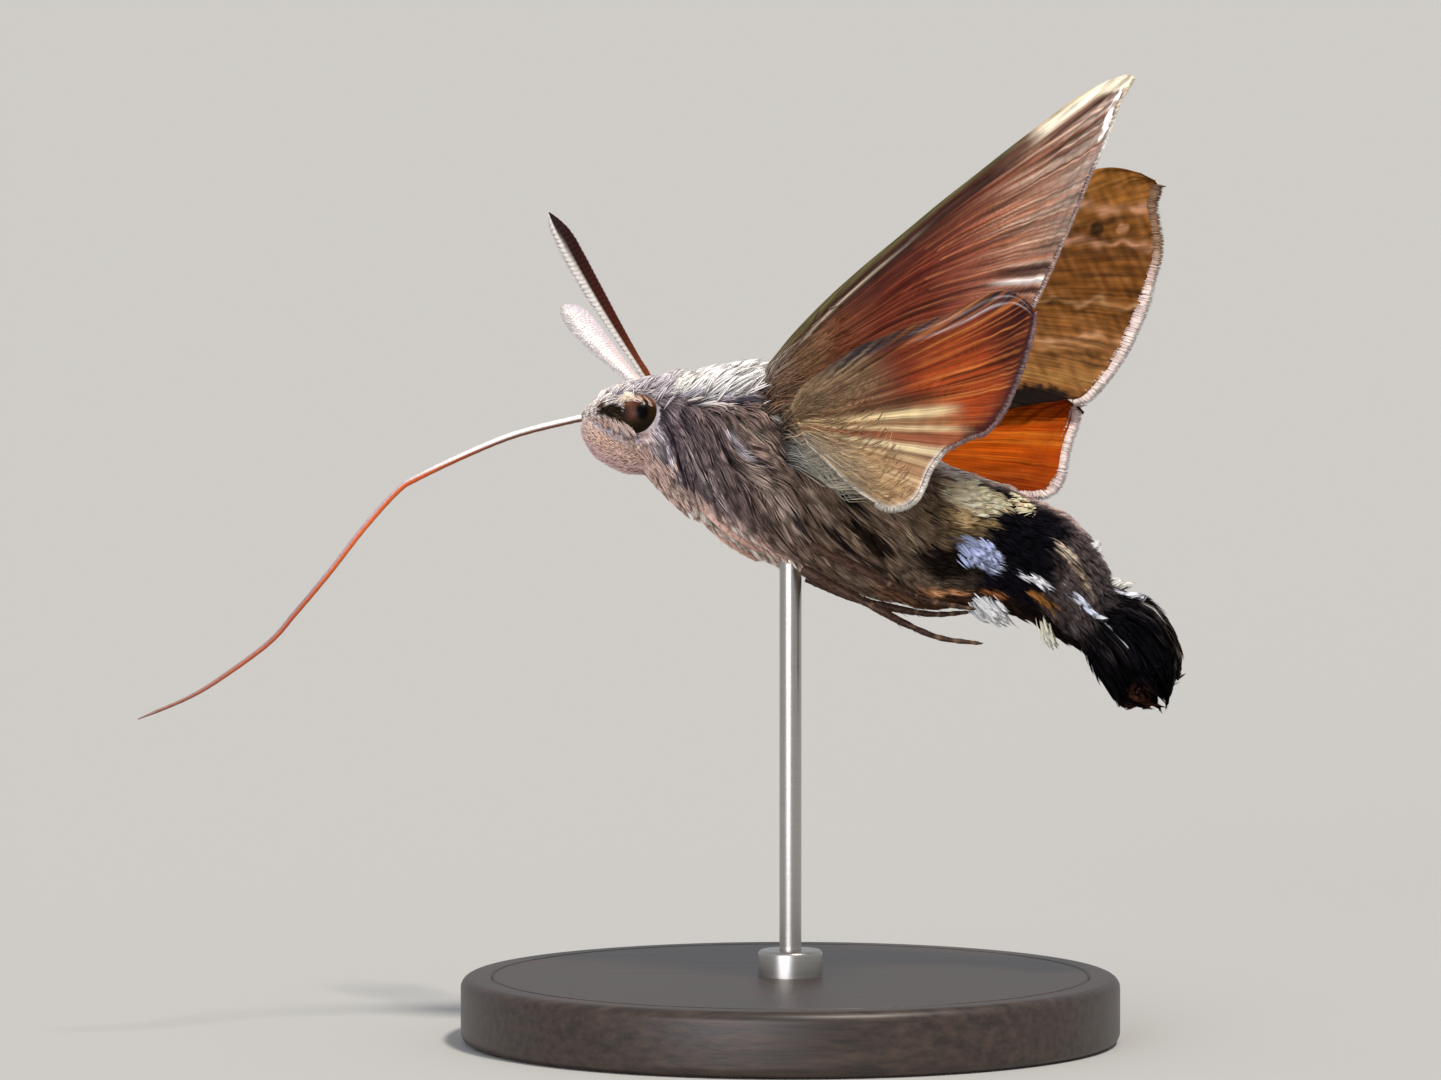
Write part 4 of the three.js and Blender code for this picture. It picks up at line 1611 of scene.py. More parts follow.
    def tie_bundle(self, item: Bundle, side: Side, thatch: Thatch) -> tuple[Array, ...]:
        """Lays one bundle's locks in a few pointed clumps.

        Args:
            item: The bundle.
            side: Its side.
            thatch: What lays them.

        Returns:
            The paths, directions, widths, colours and places on the unwrap.
        """
        rng, shape = thatch.rng, LONG_LOCK
        a = np.clip(rng.normal(item.at, item.spread, item.locks), 0.2, TAIL_END)
        b = rng.normal(item.across, item.fan, item.locks) * side.value
        # About this many locks make one pointed clump
        gather = 13
        count = max(3, item.locks // gather)
        skin = self.trunk.place(a, b, np.zeros(len(a)))
        clump = nearest_of(skin, skin[:count])
        turn = rng.normal(0, 9, count)[clump]
        lift = rng.uniform(0.35, 1.0, count)[clump] * item.lift
        long = rng.uniform(0.75, 1.1, count)[clump] * item.length
        heights = (-self.pelt.depth(a), lift)
        sprouts = thatch.lay(
            (a, b), lambda first, _: np.full(len(first), item.lie), long, heights, shape, turn,
            (0.0, TAIL_END),
        )
        path = sprouts.path
        path = path + (0.7 * shape.levels**1.3)[:, None] * (path[:count][clump] - path)
        tone = np.exp(rng.normal(0, 0.1, count)[clump] + rng.normal(0, 0.05, len(a)))[:, None]
        patch = np.column_stack((a / TAIL_END, (b + 180) / 360))
        width = rng.uniform(0.07, 0.13, len(a))
        return clear_of_eyes(path), sprouts.rise, width, tone * linear(item.colour), patch

    def build_bundles(self) -> None:
        """Makes the tufts that break the outline, from the crown to the fan's root."""
        thatch = Thatch(self.trunk, 90)
        parts = [self.tie_bundle(item, side, thatch) for item in BUNDLES for side in Side]
        path, rise, width, colours, patch = (np.concatenate(rows) for rows in zip(*parts))
        # Roots are painted darker than tips: painted shade deep in the coat
        made = Locks(path, rise, width, colours * 0.86, np.minimum(colours * 1.12, 0.97), patch)
        mesh = made.mesh(LONG_LOCK, 0.4, thatch.rng.normal(0, 0.4, len(width)))
        finish_piece(mesh, "coat_tufts", self.fur, "thorax_coat")

    def build(self) -> None:
        """Makes the skin and every piece of the coat."""
        self.build_skin()
        self.coat(Stretch("coat_head", "head_coat", 15000, (self.head_span, (-180, 180)),
                          (0.045, 0.07), 6, 0.5, 7, (0.5, 1.05), 1, SHORT_LOCK, 0.1, 0.6))
        for side in Side:
            self.build_palp_coat(side)
            wide, half = ((40, 180), (0, 180)) if side is Side.RIGHT else ((-180, -40), (-180, 0))
            self.coat(Stretch(f"coat_thorax_{side.word}", "thorax_coat", 12000, (self.thorax_span, wide),
                              (0.06, 0.11), 9, 0.6, 7, (0.45, 1.1), 11 + side.value, LONG_LOCK, 0.17, 0.45))
            self.coat(Stretch(f"coat_abdomen_{side.word}", "abdomen_coat", 8800, (self.abdomen_span, half),
                              (0.07, 0.12), 7, 0.5, 5, (0.6, 1.05), 15 + side.value, LONG_LOCK, 0.15, 0.5))
        self.coat(Stretch("coat_back", "thorax_coat", 8000, (self.thorax_span, (-44, 44)),
                          (0.07, 0.12), 9, 0.6, 7, (0.5, 1.1), 20, LONG_LOCK, 0.15, 0.5))
        self.build_fan()
        self.build_bundles()


def palp_colours(share: Array, angle: Array) -> Array:
    """The palps' colours: tan, pinkish along the lower edge, pale towards the point.

    Args:
        share: Shares along the palp.
        angle: Angles from above.

    Returns:
        Linear colours.
    """
    down = np.abs((angle + 180) % 360 - 180)
    return layered(
        gradient([(0, "#dcbaac"), (0.45, "#e2bfae"), (0.8, "#e8cdc1"), (1, "#ecdcd6")], share),
        ("#e6dce2", 0.9 * fall(45, 85, down) * ramp(0.1, 0.35, share)),
        ("#e6c4c4", 0.75 * ramp(128, 165, down)),
    )


@dataclass
class Eye:
    """One compound eye, set in the side of the head."""

    side: Side
    finish: Any
    detail: int = 5
    pupil_at: Two = (0.16, -0.03)
    pupil_size: Two = (0.34, 0.46)

    def colours(self, local: Array) -> Array:
        """The pigment under the cornea, with a pale arc along its top that is a painted highlight, and the
        dark false pupil.

        Args:
            local: Places on the eye, one radius from its middle.

        Returns:
            Linear colours.
        """
        back, up = local[:, 0], local[:, 2]
        colours = gradient(
            [
                (-1, "#1c140f"), (-0.75, "#2e1e17"), (-0.4, "#5a3a30"), (-0.1, "#45271d"), (0.3, "#241610"),
                (0.7, "#302010"), (1, "#1a140c"),
            ],
            back,
        )
        rim = ramp(0.6, 0.75, np.hypot(back - 0.1, up)) * fall(0.86, 0.98, np.hypot(back, up))
        at, size = self.pupil_at, self.pupil_size
        pupil = np.hypot((back - at[0]) / size[0], (up - at[1]) / size[1])
        return layered(
            colours,
            ("#1d190c", ramp(0.15, 0.7, -up)),
            # Painted highlight: a pale orange-brown arc along the top of the rim
            ("#8a5230", 0.85 * rim * ramp(0.15, 0.55, up)),
            ("#020202", fall(0.65, 1.15, pupil)),
        )

    def build(self) -> None:
        """Makes the eye."""
        bm = bmesh.new()
        bmesh.ops.create_icosphere(bm, subdivisions=self.detail, radius=1)
        smooth(bm)
        mesh = mesh_from(bm, "eye")
        local = corners_of(mesh)
        set_corners(mesh, to_model(local * EYE_RADIUS * 0.99 + self.side.mirrored(EYE_AT)))
        mark(mesh, self.colours(local), local[:, :2])
        finish_piece(mesh, f"eye_cornea_{self.side.word}", self.finish, "eye", [f"eye_{self.side.word}"])


@dataclass
class Tube:
    """A tapering, ringed tube along a curve."""

    name: str
    route: Rows
    radii: Rows
    squash: float = 1.0
    front: tuple[float, float, float] = (-1, 0, 0)

    def frame_at(self, share: Array) -> tuple[Array, Array, Array]:
        """The tube's middle, its front and its side at shares along it.

        Args:
            share: Shares along the tube.

        Returns:
            Places and two directions.
        """
        last = len(self.route) - 1
        middle = curve_through(self.route, share * last)
        low = np.clip(share * last - 0.05, 0, last - 0.1)
        heading = unit(curve_through(self.route, low + 0.1) - curve_through(self.route, low))
        side = unit(np.cross(heading, np.array(self.front, float)))
        return middle, unit(np.cross(side, heading)), side

    def build(self, rings: int, around: int, paint: Callable[[Array, Array], Array],
              swell: Callable[[Array, Array], Array]) -> Any:
        """Makes the tube's mesh.

        Args:
            rings: Faces along it.
            around: Faces round it.
            paint: Gives colours for shares along and turns round in radians.
            swell: Gives a factor on the radius for the same.

        Returns:
            The mesh.
        """

        def place(u: Array, v: Array) -> Arrays:
            """Places and colours on the tube.

            Args:
                u: Shares along.
                v: Shares round.

            Returns:
                Places and colours.
            """
            middle, front, side = self.frame_at(u)
            turn = v * 2 * math.pi
            radius = run(self.radii, u) * swell(u, turn)
            ahead, beside = radius * np.cos(turn), radius * self.squash * np.sin(turn)
            return middle + front * ahead[:, None] + side * beside[:, None], paint(u, turn)

        return wrapped(rings, around, place)


@dataclass
class Antenna:
    """One antenna: a ringed club, bare and red-brown outside, pale-scaled inside and in front."""

    side: Side
    horn: Any
    fur: Any
    segments: int = 38
    teeth: int = 9
    scales: int = 900
    squash: float = 0.72
    hidden: float = 0.07
    profile: Rows = (
        (0, 0.13), (0.08, 0.19), (0.13, 0.175), (0.3, 0.245), (0.5, 0.33), (0.7, 0.375), (0.82, 0.37),
        (0.9, 0.31), (0.95, 0.2), (0.985, 0.09), (1, 0.03),
    )

    def __post_init__(self) -> None:
        """Runs the club from its base to its tip, with a bow and a hook."""
        if self.side is Side.LEFT:
            ends, breadth = ((-5.25, -0.85, 4.1), (-9.4, -5.75, 10.55)), 1.2
        else:
            # The camera sees the far club's broad face
            ends, breadth = ((-5.6, 0.85, 4.0), (-8.85, 7.6, 8.95)), 1.55
        base, tip = np.array(ends)
        share = np.linspace(-self.hidden, 1, 15)[:, None]
        bow = np.array([-0.14, 0, 0]) * 4 * share * (1 - share)
        hook = np.array([-0.16, 0, -0.02]) * ramp(0.86, 1, share)
        self.radii = [(at, radius * breadth) for at, radius in self.profile]
        route = base + (tip - base) * share + bow + hook
        self.tube = Tube(f"antenna_shaft_{self.side.word}", route, self.radii, self.squash)

    def paint(self, share: Array, turn: Array) -> Array:
        """The shaft's colours, with ring lines.

        Args:
            share: Shares along it.
            turn: Turns round it from its front edge.

        Returns:
            Linear colours.
        """
        dark = gradient([(0, "#84421e"), (0.3, "#4e1b0c"), (0.7, "#300f08"), (1, "#220c07")], share)
        inner = gradient([(0, "#d8bcae"), (0.5, "#dcccd0"), (1, "#e2d8e2")], share)
        colours = dark + (inner - dark) * ramp(-0.25, 0.1, np.sin(turn) * self.side.value)[:, None]
        colours = mixed(colours, "#f6eee4", ramp(0.0, 0.12, np.cos(turn) - 0.32 * share))
        ring = 0.5 + 0.5 * np.cos(share * self.segments * 2 * math.pi)
        return colours * (1 - 0.35 * ring**4)[:, None]

    def swell(self, share: Array, turn: Array) -> Array:
        """Segments bulge between their rings."""
        ring = np.abs(np.sin(share * self.segments * math.pi))
        return 0.93 + 0.07 * ring + 0.1 * ring * ramp(0.5, 1, np.cos(turn))

    def build(self) -> None:
        """Makes the shaft and the pale scales on its front and inner sides."""
        word = self.side.word
        mesh = self.tube.build(self.segments * 5, 20, self.paint, self.swell)
        finish_piece(mesh, self.tube.name, self.horn, "antenna", [f"antenna_{word}"])
        rng, shape = np.random.default_rng(SEED + 120 + self.side.value), SHORT_LOCK
        rows = self.segments * self.teeth
        count = rows + self.scales
        share = np.repeat((np.arange(self.segments) + 0.5) / self.segments, self.teeth)
        share = np.clip(share * 0.92 + 0.05 + rng.uniform(-0.008, 0.008, rows), 0, 0.99)
        turn = np.tile(np.linspace(-0.5, 0.5, self.teeth), self.segments) + rng.normal(0, 0.06, rows)
        turn = np.concatenate([turn, rng.uniform(0.2, 2.9, self.scales) * self.side.value])
        share = np.concatenate([share, rng.uniform(0.04, 0.98, self.scales)])
        middle, front, side = self.tube.frame_at(share)
        heading = unit(self.tube.frame_at(np.minimum(share + 0.02, 1))[0] - middle)
        c, s = np.cos(turn)[:, None], np.sin(turn)[:, None]
        away = unit(front * c + side * (s * 0.9))
        radius = run(self.radii, share)[:, None]
        root = middle + front * radius * c + side * radius * self.squash * s
        toothed = (np.arange(count) < rows)[:, None].astype(float)
        size = (0.075 + 0.05 * toothed) * (0.4 + radius * 2.2)
        lean = away * (0.25 + 0.75 * toothed) + heading * 0.8
        path = shape.trace(lambda level: root - away * 0.02 + lean * size * level)
        colours = linear("#e8dfe0") * tones(rng, 0.1, count)
        patch = np.column_stack((share, (turn + 0.6) / 3.4))
        width = rng.uniform(0.05, 0.08, count)
        # Roots are painted darker than tips: painted shade at the scales' bases
        locks = Locks(path, shape.repeat(away), width, colours * 0.9, colours, patch)
        finish_piece(locks.mesh(shape, 0.4, np.zeros(count)), f"antenna_scales_{word}", self.fur, "antenna")


@dataclass
class Proboscis:
    """The uncoiled feeding tube: two half tubes joined along a groove."""

    finish: Any
    route: Rows = (
        (-8.05, 0, 2.15), (-8.55, 0, 2.08), (-11.1, 0, 1.42), (-13.3, 0, 0.52), (-15.6, 0, -0.6),
        (-16.5, 0, -1.2), (-18.0, 0, -2.9), (-19.6, 0, -5.0), (-21.1, 0, -6.83), (-22.3, 0, -8.2),
        (-24.5, 0, -9.85), (-26.0, 0, -10.75), (-28.2, 0, -11.7),
    )
    radii: Rows = ((0, 0.19), (0.12, 0.18), (0.3, 0.17), (0.6, 0.15), (0.8, 0.13), (0.97, 0.09), (1, 0.03))
    groove: float = 0.16

    def paint(self, share: Array, turn: Array) -> Array:
        """Grey and brown near the head, amber after the bend, paler on top: the pale top is a painted
        highlight.

        Args:
            share: Shares along it.
            turn: Turns round it from its upper edge.

        Returns:
            Linear colours.
        """
        lower = gradient(
            [
                (0, "#56290f"), (0.2, "#6e3210"), (0.34, "#c04e0e"), (0.5, "#cc580e"), (0.66, "#a84610"),
                (0.8, "#a44a28"), (1, "#6a4434"),
            ],
            share,
        )
        # Painted highlight: the upper side's pale grey, widest near the head
        stops = [(0, "#f4f2ee"), (0.28, "#e4dfdc"), (0.4, "#b09ca0"), (0.66, "#8a7074"), (1, "#94786a")]
        past = 0.4 * ramp(0.2, 0.36, share)
        return lower + (gradient(stops, share) - lower) * ramp(-0.42, -0.1, np.cos(turn) - past)[:, None]

    def swell(self, share: Array, turn: Array) -> Array:
        """A groove runs along the top and the underside."""
        return 1 - self.groove * np.abs(np.cos(turn)) ** 10 + 0.02 * np.sin(share * 300)

    def build(self) -> None:
        """Makes the tube."""
        tube = Tube("proboscis_tube", self.route, self.radii, 1.0, (0.3, 0, 1))
        nodes = ["proboscis_base", "proboscis_middle", "proboscis_tip"]
        finish_piece(tube.build(420, 20, self.paint, self.swell), tube.name, self.finish, "proboscis", nodes)


class Pair(Enum):
    """The three pairs of legs."""

    FRONT = "front"
    MIDDLE = "middle"
    HIND = "hind"


LEG_ROUTES = {
    "front": ((-3.7, 1.2, -0.9), (-2.6, 1.35, -2.2), (-1.4, 1.4, -3.35), (-0.1, 1.3, -4.2)),
    "middle_left": (
        (2.3, 2.7, -4.2), (4.9, 2.35, -5.4), (6.3, 2.1, -6.05), (7.6, 1.95, -6.58), (9.7, 1.9, -6.98),
    ),
    "middle_right": (
        (2.3, 2.6, -4.1), (4.9, 2.2, -5.1), (6.4, 2.0, -5.65), (7.8, 1.8, -6.05), (9.4, 1.7, -6.25),
    ),
    "hind_left": (
        (1.9, 1.2, -5.0), (3.5, 1.4, -5.95), (5.0, 1.6, -6.75), (6.5, 1.8, -7.6), (8.1, 2.0, -8.3),
        (10.0, 2.2, -8.6),
    ),
    "hind_right": (
        (2.1, 1.0, -5.0), (4.2, 0.9, -5.95), (6.0, 0.8, -6.45), (7.8, 0.75, -6.75), (9.5, 0.8, -6.65),
    ),
}


@dataclass
class Leg:
    """One leg: thigh, shin with its spurs, and a jointed foot."""

    pair: Pair
    side: Side
    horn: Any
    fur: Any
    radii: Rows = (
        (0, 0.24), (0.25, 0.2), (0.38, 0.15), (0.42, 0.19), (0.62, 0.16), (0.66, 0.12), (0.7, 0.15),
        (0.78, 0.115), (0.8, 0.14), (0.87, 0.1), (0.89, 0.125), (0.95, 0.085), (0.97, 0.1), (1, 0.03),
    )
    joints: tuple[float, ...] = (0.4, 0.65, 0.79, 0.88, 0.96)
    spurs: Rows = (
        (0.55, 2.2, 0.5), (0.55, -2.4, 0.42), (0.64, 2.0, 0.45), (0.64, -2.2, 0.36), (0.99, 1.2, 0.16),
        (0.99, -1.2, 0.16),
    )
    scales: int = 450

    def __post_init__(self) -> None:
        """Runs the leg along its route."""
        self.name = f"{self.pair.value}_{self.side.word}"
        route = self.side.mirrored(np.array(LEG_ROUTES.get(self.name, LEG_ROUTES["front"])))
        self.tube = Tube(f"leg_shell_{self.name}", route, self.radii, 0.85, (0, 0, 1))

    def tone(self, share: Array) -> Array:
        """The leg's colours along it: pinkish in front, dark brown behind.

        Args:
            share: Shares along the leg.

        Returns:
            Linear colours.
        """
        pale = [(0, "#e6c4b6"), (0.6, "#d8b2a4"), (1, "#a88474")]
        brown = [(0, "#4c362b"), (0.3, "#4a3429"), (0.6, "#3e2a20"), (1, "#38251c")]
        return gradient(pale if self.pair is Pair.FRONT else brown, share)

    def paint(self, share: Array, turn: Array) -> Array:
        """The same colours, paler at the joints."""
        joints = sum(bell(at, 0.012, share) for at in self.joints)
        return mixed(self.tone(share), "#8a6c50", np.clip(joints, 0, 1) * 0.6)

    def build(self) -> None:
        """Makes the leg and its scales, spurs and claws."""
        mesh = self.tube.build(90, 12, self.paint, lambda share, turn: np.ones(len(share)))
        finish_piece(mesh, self.tube.name, self.horn, "leg", [f"leg_{self.name}"])
        rng = np.random.default_rng(SEED + 140 + len(self.name) * 3 + self.side.value)
        count, shape = self.scales, SHORT_LOCK
        share = rng.uniform(0.02, 0.98, count)
        turn = rng.uniform(0, 2 * math.pi, count)
        size = run([(0, 0.3), (0.4, 0.24), (0.7, 0.14), (1, 0.08)], share)
        slope = np.full(count, 0.18)
        spurs = len(self.spurs)
        share[:spurs], turn[:spurs], size[:spurs] = np.array(self.spurs).T
        slope[:spurs] = 0.5
        middle, front, side = self.tube.frame_at(share)
        ahead, behind = (self.tube.frame_at(np.clip(share + step, 0, 1))[0] for step in (0.02, -0.02))
        away = unit(front * np.cos(turn)[:, None] + side * np.sin(turn)[:, None])
        root = middle + away * run(self.radii, share)[:, None] * 0.85
        grow = unit(ahead - behind) + away * slope[:, None]
        path = shape.trace(lambda level: root + grow * size[:, None] * level)
        colours = self.tone(share) * 1.3 * tones(rng, 0.25, count)
        patch = np.column_stack((share, turn / (2 * math.pi)))
        width = 0.035 + 0.035 * (1 - share)
        # Roots are painted darker than tips: painted shade at the scales' bases
        locks = Locks(path, shape.repeat(away), width, colours * 0.7, colours, patch)
        finish_piece(locks.mesh(shape, 0.4, np.zeros(count)), f"leg_scales_{self.name}", self.fur, "leg")


# Wings


@dataclass(frozen=True)
class WingPlan:
    """A wing's outline as span and chord, and its veins.

    Lift is its height over the forewing's sheet in mm. The fringe starts at a span of the
    rear edge. The veins run out from the focus, each with its slope there and the span
    where it starts. The bend is how much they turn backwards, how much more so towards the
    rear, and the span where that starts.
    """

    name: str
    front: Rows
    rear: Rows
    lift: float
    fringe_from: float
    focus: Two
    bend: tuple[float, float, float]
    veins: Rows

    def reach(self, s: Array) -> Array:
        """How far apart veins lie at a span, in mm for each unit of flow."""
        return s - self.focus[0] + self.bend[1] * np.maximum(s - self.bend[2], 0) ** 2

    def flow(self, s: Array, c: Array) -> Array:
        """A number that stays the same along each vein: its slope at the root."""
        return (c - self.focus[1] - self.bend[0] * np.maximum(s - self.bend[2], 0) ** 2) / self.reach(s)


FOREWING = WingPlan(
    "forewing",
    (
        (0.2, -0.75), (2, -1.2), (5, -1.65), (10, -1.9), (15, -2.0), (18, -2.0), (20, -1.72), (21.2, -1.2),
        (22, -0.45), (22.5, 0.35),
    ),
    (
        (0.2, 1.6), (4, 4.0), (8, 5.9), (11.5, 7.3), (12.4, 7.9), (13.5, 7.65), (15, 7.1), (17, 6.0),
        (18, 5.35), (19, 4.5), (20, 3.7), (20.6, 2.95), (21.1, 2.05), (21.5, 1.4), (22.1, 0.95), (22.5, 0.6),
    ),
    0.0,
    12.0,
    (-3.0, -0.4),
    (0.022, 0.15, 6.5),
    (
        (-0.1, 8), (-0.085, 9), (-0.065, 9), (-0.04, 9), (-0.01, 9.5), (0.025, 10), (0.065, 10), (0.11, 9),
        (0.16, 9), (0.225, 0), (0.29, 6), (0.37, 0), (0.45, 0),
    ),
)
HINDWING = WingPlan(
    "hindwing",
    (
        (0.5, 2.4), (1.4, 1.9), (4, 2.1), (6, 2.8), (8, 3.8), (9.5, 4.5), (11, 5.2), (12, 6.05), (12.6, 7.1),
        (12.95, 8.2),
    ),
    (
        (0.5, 4.4), (1.8, 8.3), (2.8, 10.0), (3.9, 10.45), (5.2, 9.8), (6.1, 9.65), (6.8, 9.9), (7.6, 10.25),
        (8.5, 10.8), (9.4, 10.9), (10.7, 10.5), (11.8, 9.9), (12.5, 9.3), (12.95, 8.6),
    ),
    -0.8,
    2.2,
    (-0.6, 2.4),
    (0.013, 0.0, 3.4),
    (
        (0.05, 0), (0.1, 0), (0.18, 4.2), (0.27, 4.4), (0.37, 4.6), (0.49, 4.2), (0.64, 0), (0.82, 0),
        (1.03, 0), (1.34, 0), (1.78, 0),
    ),
)


@dataclass(frozen=True)
class WingPose:
    """How the wings of one side are held: their root, and turns in degrees.

    Twist is how much further the tip is pitched than the root. Tuck draws the hindwing's
    inner rear corner in, span and chord stretch it, and trim narrows its outer end in mm.
    """

    root: tuple[float, float, float]
    sweep: float
    stroke: float
    pitch: float
    twist: float
    tuck: float
    span: float
    chord: float
    trim: float


WING_POSES = {
    Side.LEFT: WingPose((0.55, -3.1, 3.4), 48, 49.2, 59, 34, 0.0, 1.1, 1.055, 0.0),
    Side.RIGHT: WingPose((0.65, -2.75, 3.9), 51.4, 56.6, 20, 0, 1.7, 0.96, 0.985, 1.15),
}
# Section and angle of the trunk where each root starts and ends
WING_SEAMS = {
    "forewing_left": ((8.5, 38), (9.0, 63)),
    "hindwing_left": ((9.0, 66), (9.5, 88)),
    "forewing_right": ((8.45, 34), (9.45, 46)),
    "hindwing_right": ((9.7, 54), (10.4, 70)),
}
HINGE_LINE = -1.8
TWIST_GROWTH = 1.85
FULL_SPAN = 22.5


@dataclass
class WingSheet(Form):
    """The middle sheet of one wing: the first number is the span, the second the chord."""

    plan: WingPlan
    side: Side
    steps: Two = (0.05, 0.05)

    def __post_init__(self) -> None:
        """Turns the sheet as its side's pose holds it."""
        pose = self.pose = WING_POSES[self.side]
        self.handed = -float(self.side.value)
        turn = turning("x", -math.radians(pose.stroke)) @ turning("z", math.radians(pose.sweep))
        self.turn = turn @ turning("y", math.radians(pose.pitch))
        hind = self.plan is HINDWING
        self.stretch = (pose.span, pose.chord) if hind else (1.0, 1.0)
        self.trim = pose.trim if hind else 0.0

    def place(self, a: Array, b: Array, height: Array) -> Array:
        """Places over the wing's sheet.

        Args:
            a: Spans.
            b: Chords, backwards from the middle of the root.
            height: Height over the sheet, above zero on the upper side.

        Returns:
            Places in the moth's frame.
        """
        s, c = a * self.stretch[0], b * self.stretch[1]
        twist = math.radians(self.pose.twist) * (np.maximum(s, 0) / FULL_SPAN) ** TWIST_GROWTH
        back = c - HINGE_LINE
        drop = self.pose.tuck * (np.maximum(c - 4, 0) / 6) ** 1.5 * np.maximum(1 - s / 8, 0)
        lift = height + self.plan.lift - drop
        x = HINGE_LINE + back * np.cos(twist) + lift * np.sin(twist)
        z = -back * np.sin(twist) + lift * np.cos(twist)
        points = np.column_stack((x, -s, z)) @ self.turn.T + np.array(self.pose.root)
        return points * np.array([1, -self.side.value, 1])

    def edges(self, s: Array) -> Arrays:
        """The chords of the front and rear edges at a span."""
        return edge_at(self.plan.front, s), edge_at(self.plan.rear, s) - self.trim * ramp(8.5, 11.5, s)


@dataclass
class WingSpot:
    """Places on a wing, as its painting needs them."""

    s: Array
    q: Array
    c: Array
    way: Array
    gap: Array
    front: Array
    rear: Array

    def streaks(self, most: float, strength: float, breadth: float, seed: int) -> Array:
        """Streaks along the veins."""
        noise = ripple(np.column_stack((self.way / breadth, self.s * 0.16)), 2.0, seed)
        return np.clip(strength * noise, 0, most)

    def noise(self, wavelength: float, seed: int, stretch: Two = (1, 1)) -> Array:
        """Noise over span and chord."""
        return ripple(np.column_stack((self.s * stretch[0], self.c * stretch[1])), wavelength, seed)


FORE_UNDER_MARKS = (
    Mark(20.7, 1.9, 0.75, 0.3, -58, "#fdfbf8", 0.25, 0.3),
    Mark(21.4, 0.75, 0.5, 0.2, -30, "#fdfbf8", 0.25, 0.3),
)
FORE_UPPER_MARKS = (
    Mark(18.45, 0.95, 0.42, 0.36, 0, "#170d06", 0.3, 0.2, 0.85),
    Mark(19.6, 1.6, 0.3, 0.24, 0, "#a07454", 0.4, 0.3, 0.7),
    Mark(10.6, 6.7, 1.6, 0.78, 32, "#0f0b0c", 0.25, 0.2, 0.97),
    Mark(9.4, 6.1, 1.3, 0.7, 20, "#150f0e", 0.3, 0.2, 0.9),
)
# Bands across the forewing's upper side: place, breadth, colour and strength
FORE_BANDS = (
    (19.1, 0.42, "#a87c60", 0.85), (17.9, 0.5, "#2c1a0a", 0.6), (16.4, 0.5, "#2c1a0a", 0.6),
    (15.5, 0.3, "#a87c62", 0.8), (14.6, 0.5, "#2a190a", 0.65), (12.8, 0.4, "#38220e", 0.5),
    (11, 0.5, "#33200e", 0.5), (9.6, 0.28, "#a5805c", 0.75), (8.9, 0.35, "#2e1d0d", 0.6),
    (7.4, 0.5, "#2e1d0d", 0.45), (6.0, 0.34, "#b98c6a", 0.8), (5.2, 0.22, "#a88058", 0.6),
    (4.4, 0.35, "#2c1b0c", 0.75), (3.4, 0.25, "#2c1b0c", 0.6), (2.2, 0.5, "#a27c44", 0.6),
    (0.4, 0.45, "#22150a", 0.7), (-0.6, 0.4, "#8a6a3c", 0.5), (-2, 0.5, "#22150a", 0.6),
    (-4.5, 0.6, "#22150a", 0.6),
)
# Bands along the hindwing's fold, from the root to the notch in the margin
FOLD_BANDS = (
    (0.6, 0.04, "#3a2a1c", 0.6), (0.72, 0.045, "#dcc494", 0.95), (0.8, 0.02, "#8a6a48", 0.7),
    (0.86, 0.03, "#d8be90", 0.85), (0.96, 0.06, "#94583e", 0.85), (1.07, 0.045, "#e2cea2", 0.9),
)
# A white streak and two dark ones run out to the forewing's rear edge past the hindwing
REAR_STREAKS = ((0.2, 0.0075, "#fbf4ec"), (0.172, 0.008, "#34201f"), (0.226, 0.006, "#4a2622"))
FRINGE_STOPS = {
    "forewing_left": (
        (12, "#e8dcd4"), (14.8, "#b89e94"), (19, "#a89088"), (20, "#f0eae4"), (21.5, "#e0d4bc"),
    ),
    "hindwing_left": ((2, "#d9d3c6"), (5.6, "#e6ddd2"), (6.6, "#a08480"), (13, "#7c6466")),
    "forewing_right": ((11, "#fbe6e2"), (18.5, "#fbe4de"), (20.3, "#a08068"), (22.5, "#6a5240")),
    "hindwing_right": ((2, "#efe0da"), (6, "#f8e2dc"), (11.5, "#fbe6e2"), (13, "#d0b4aa")),
}


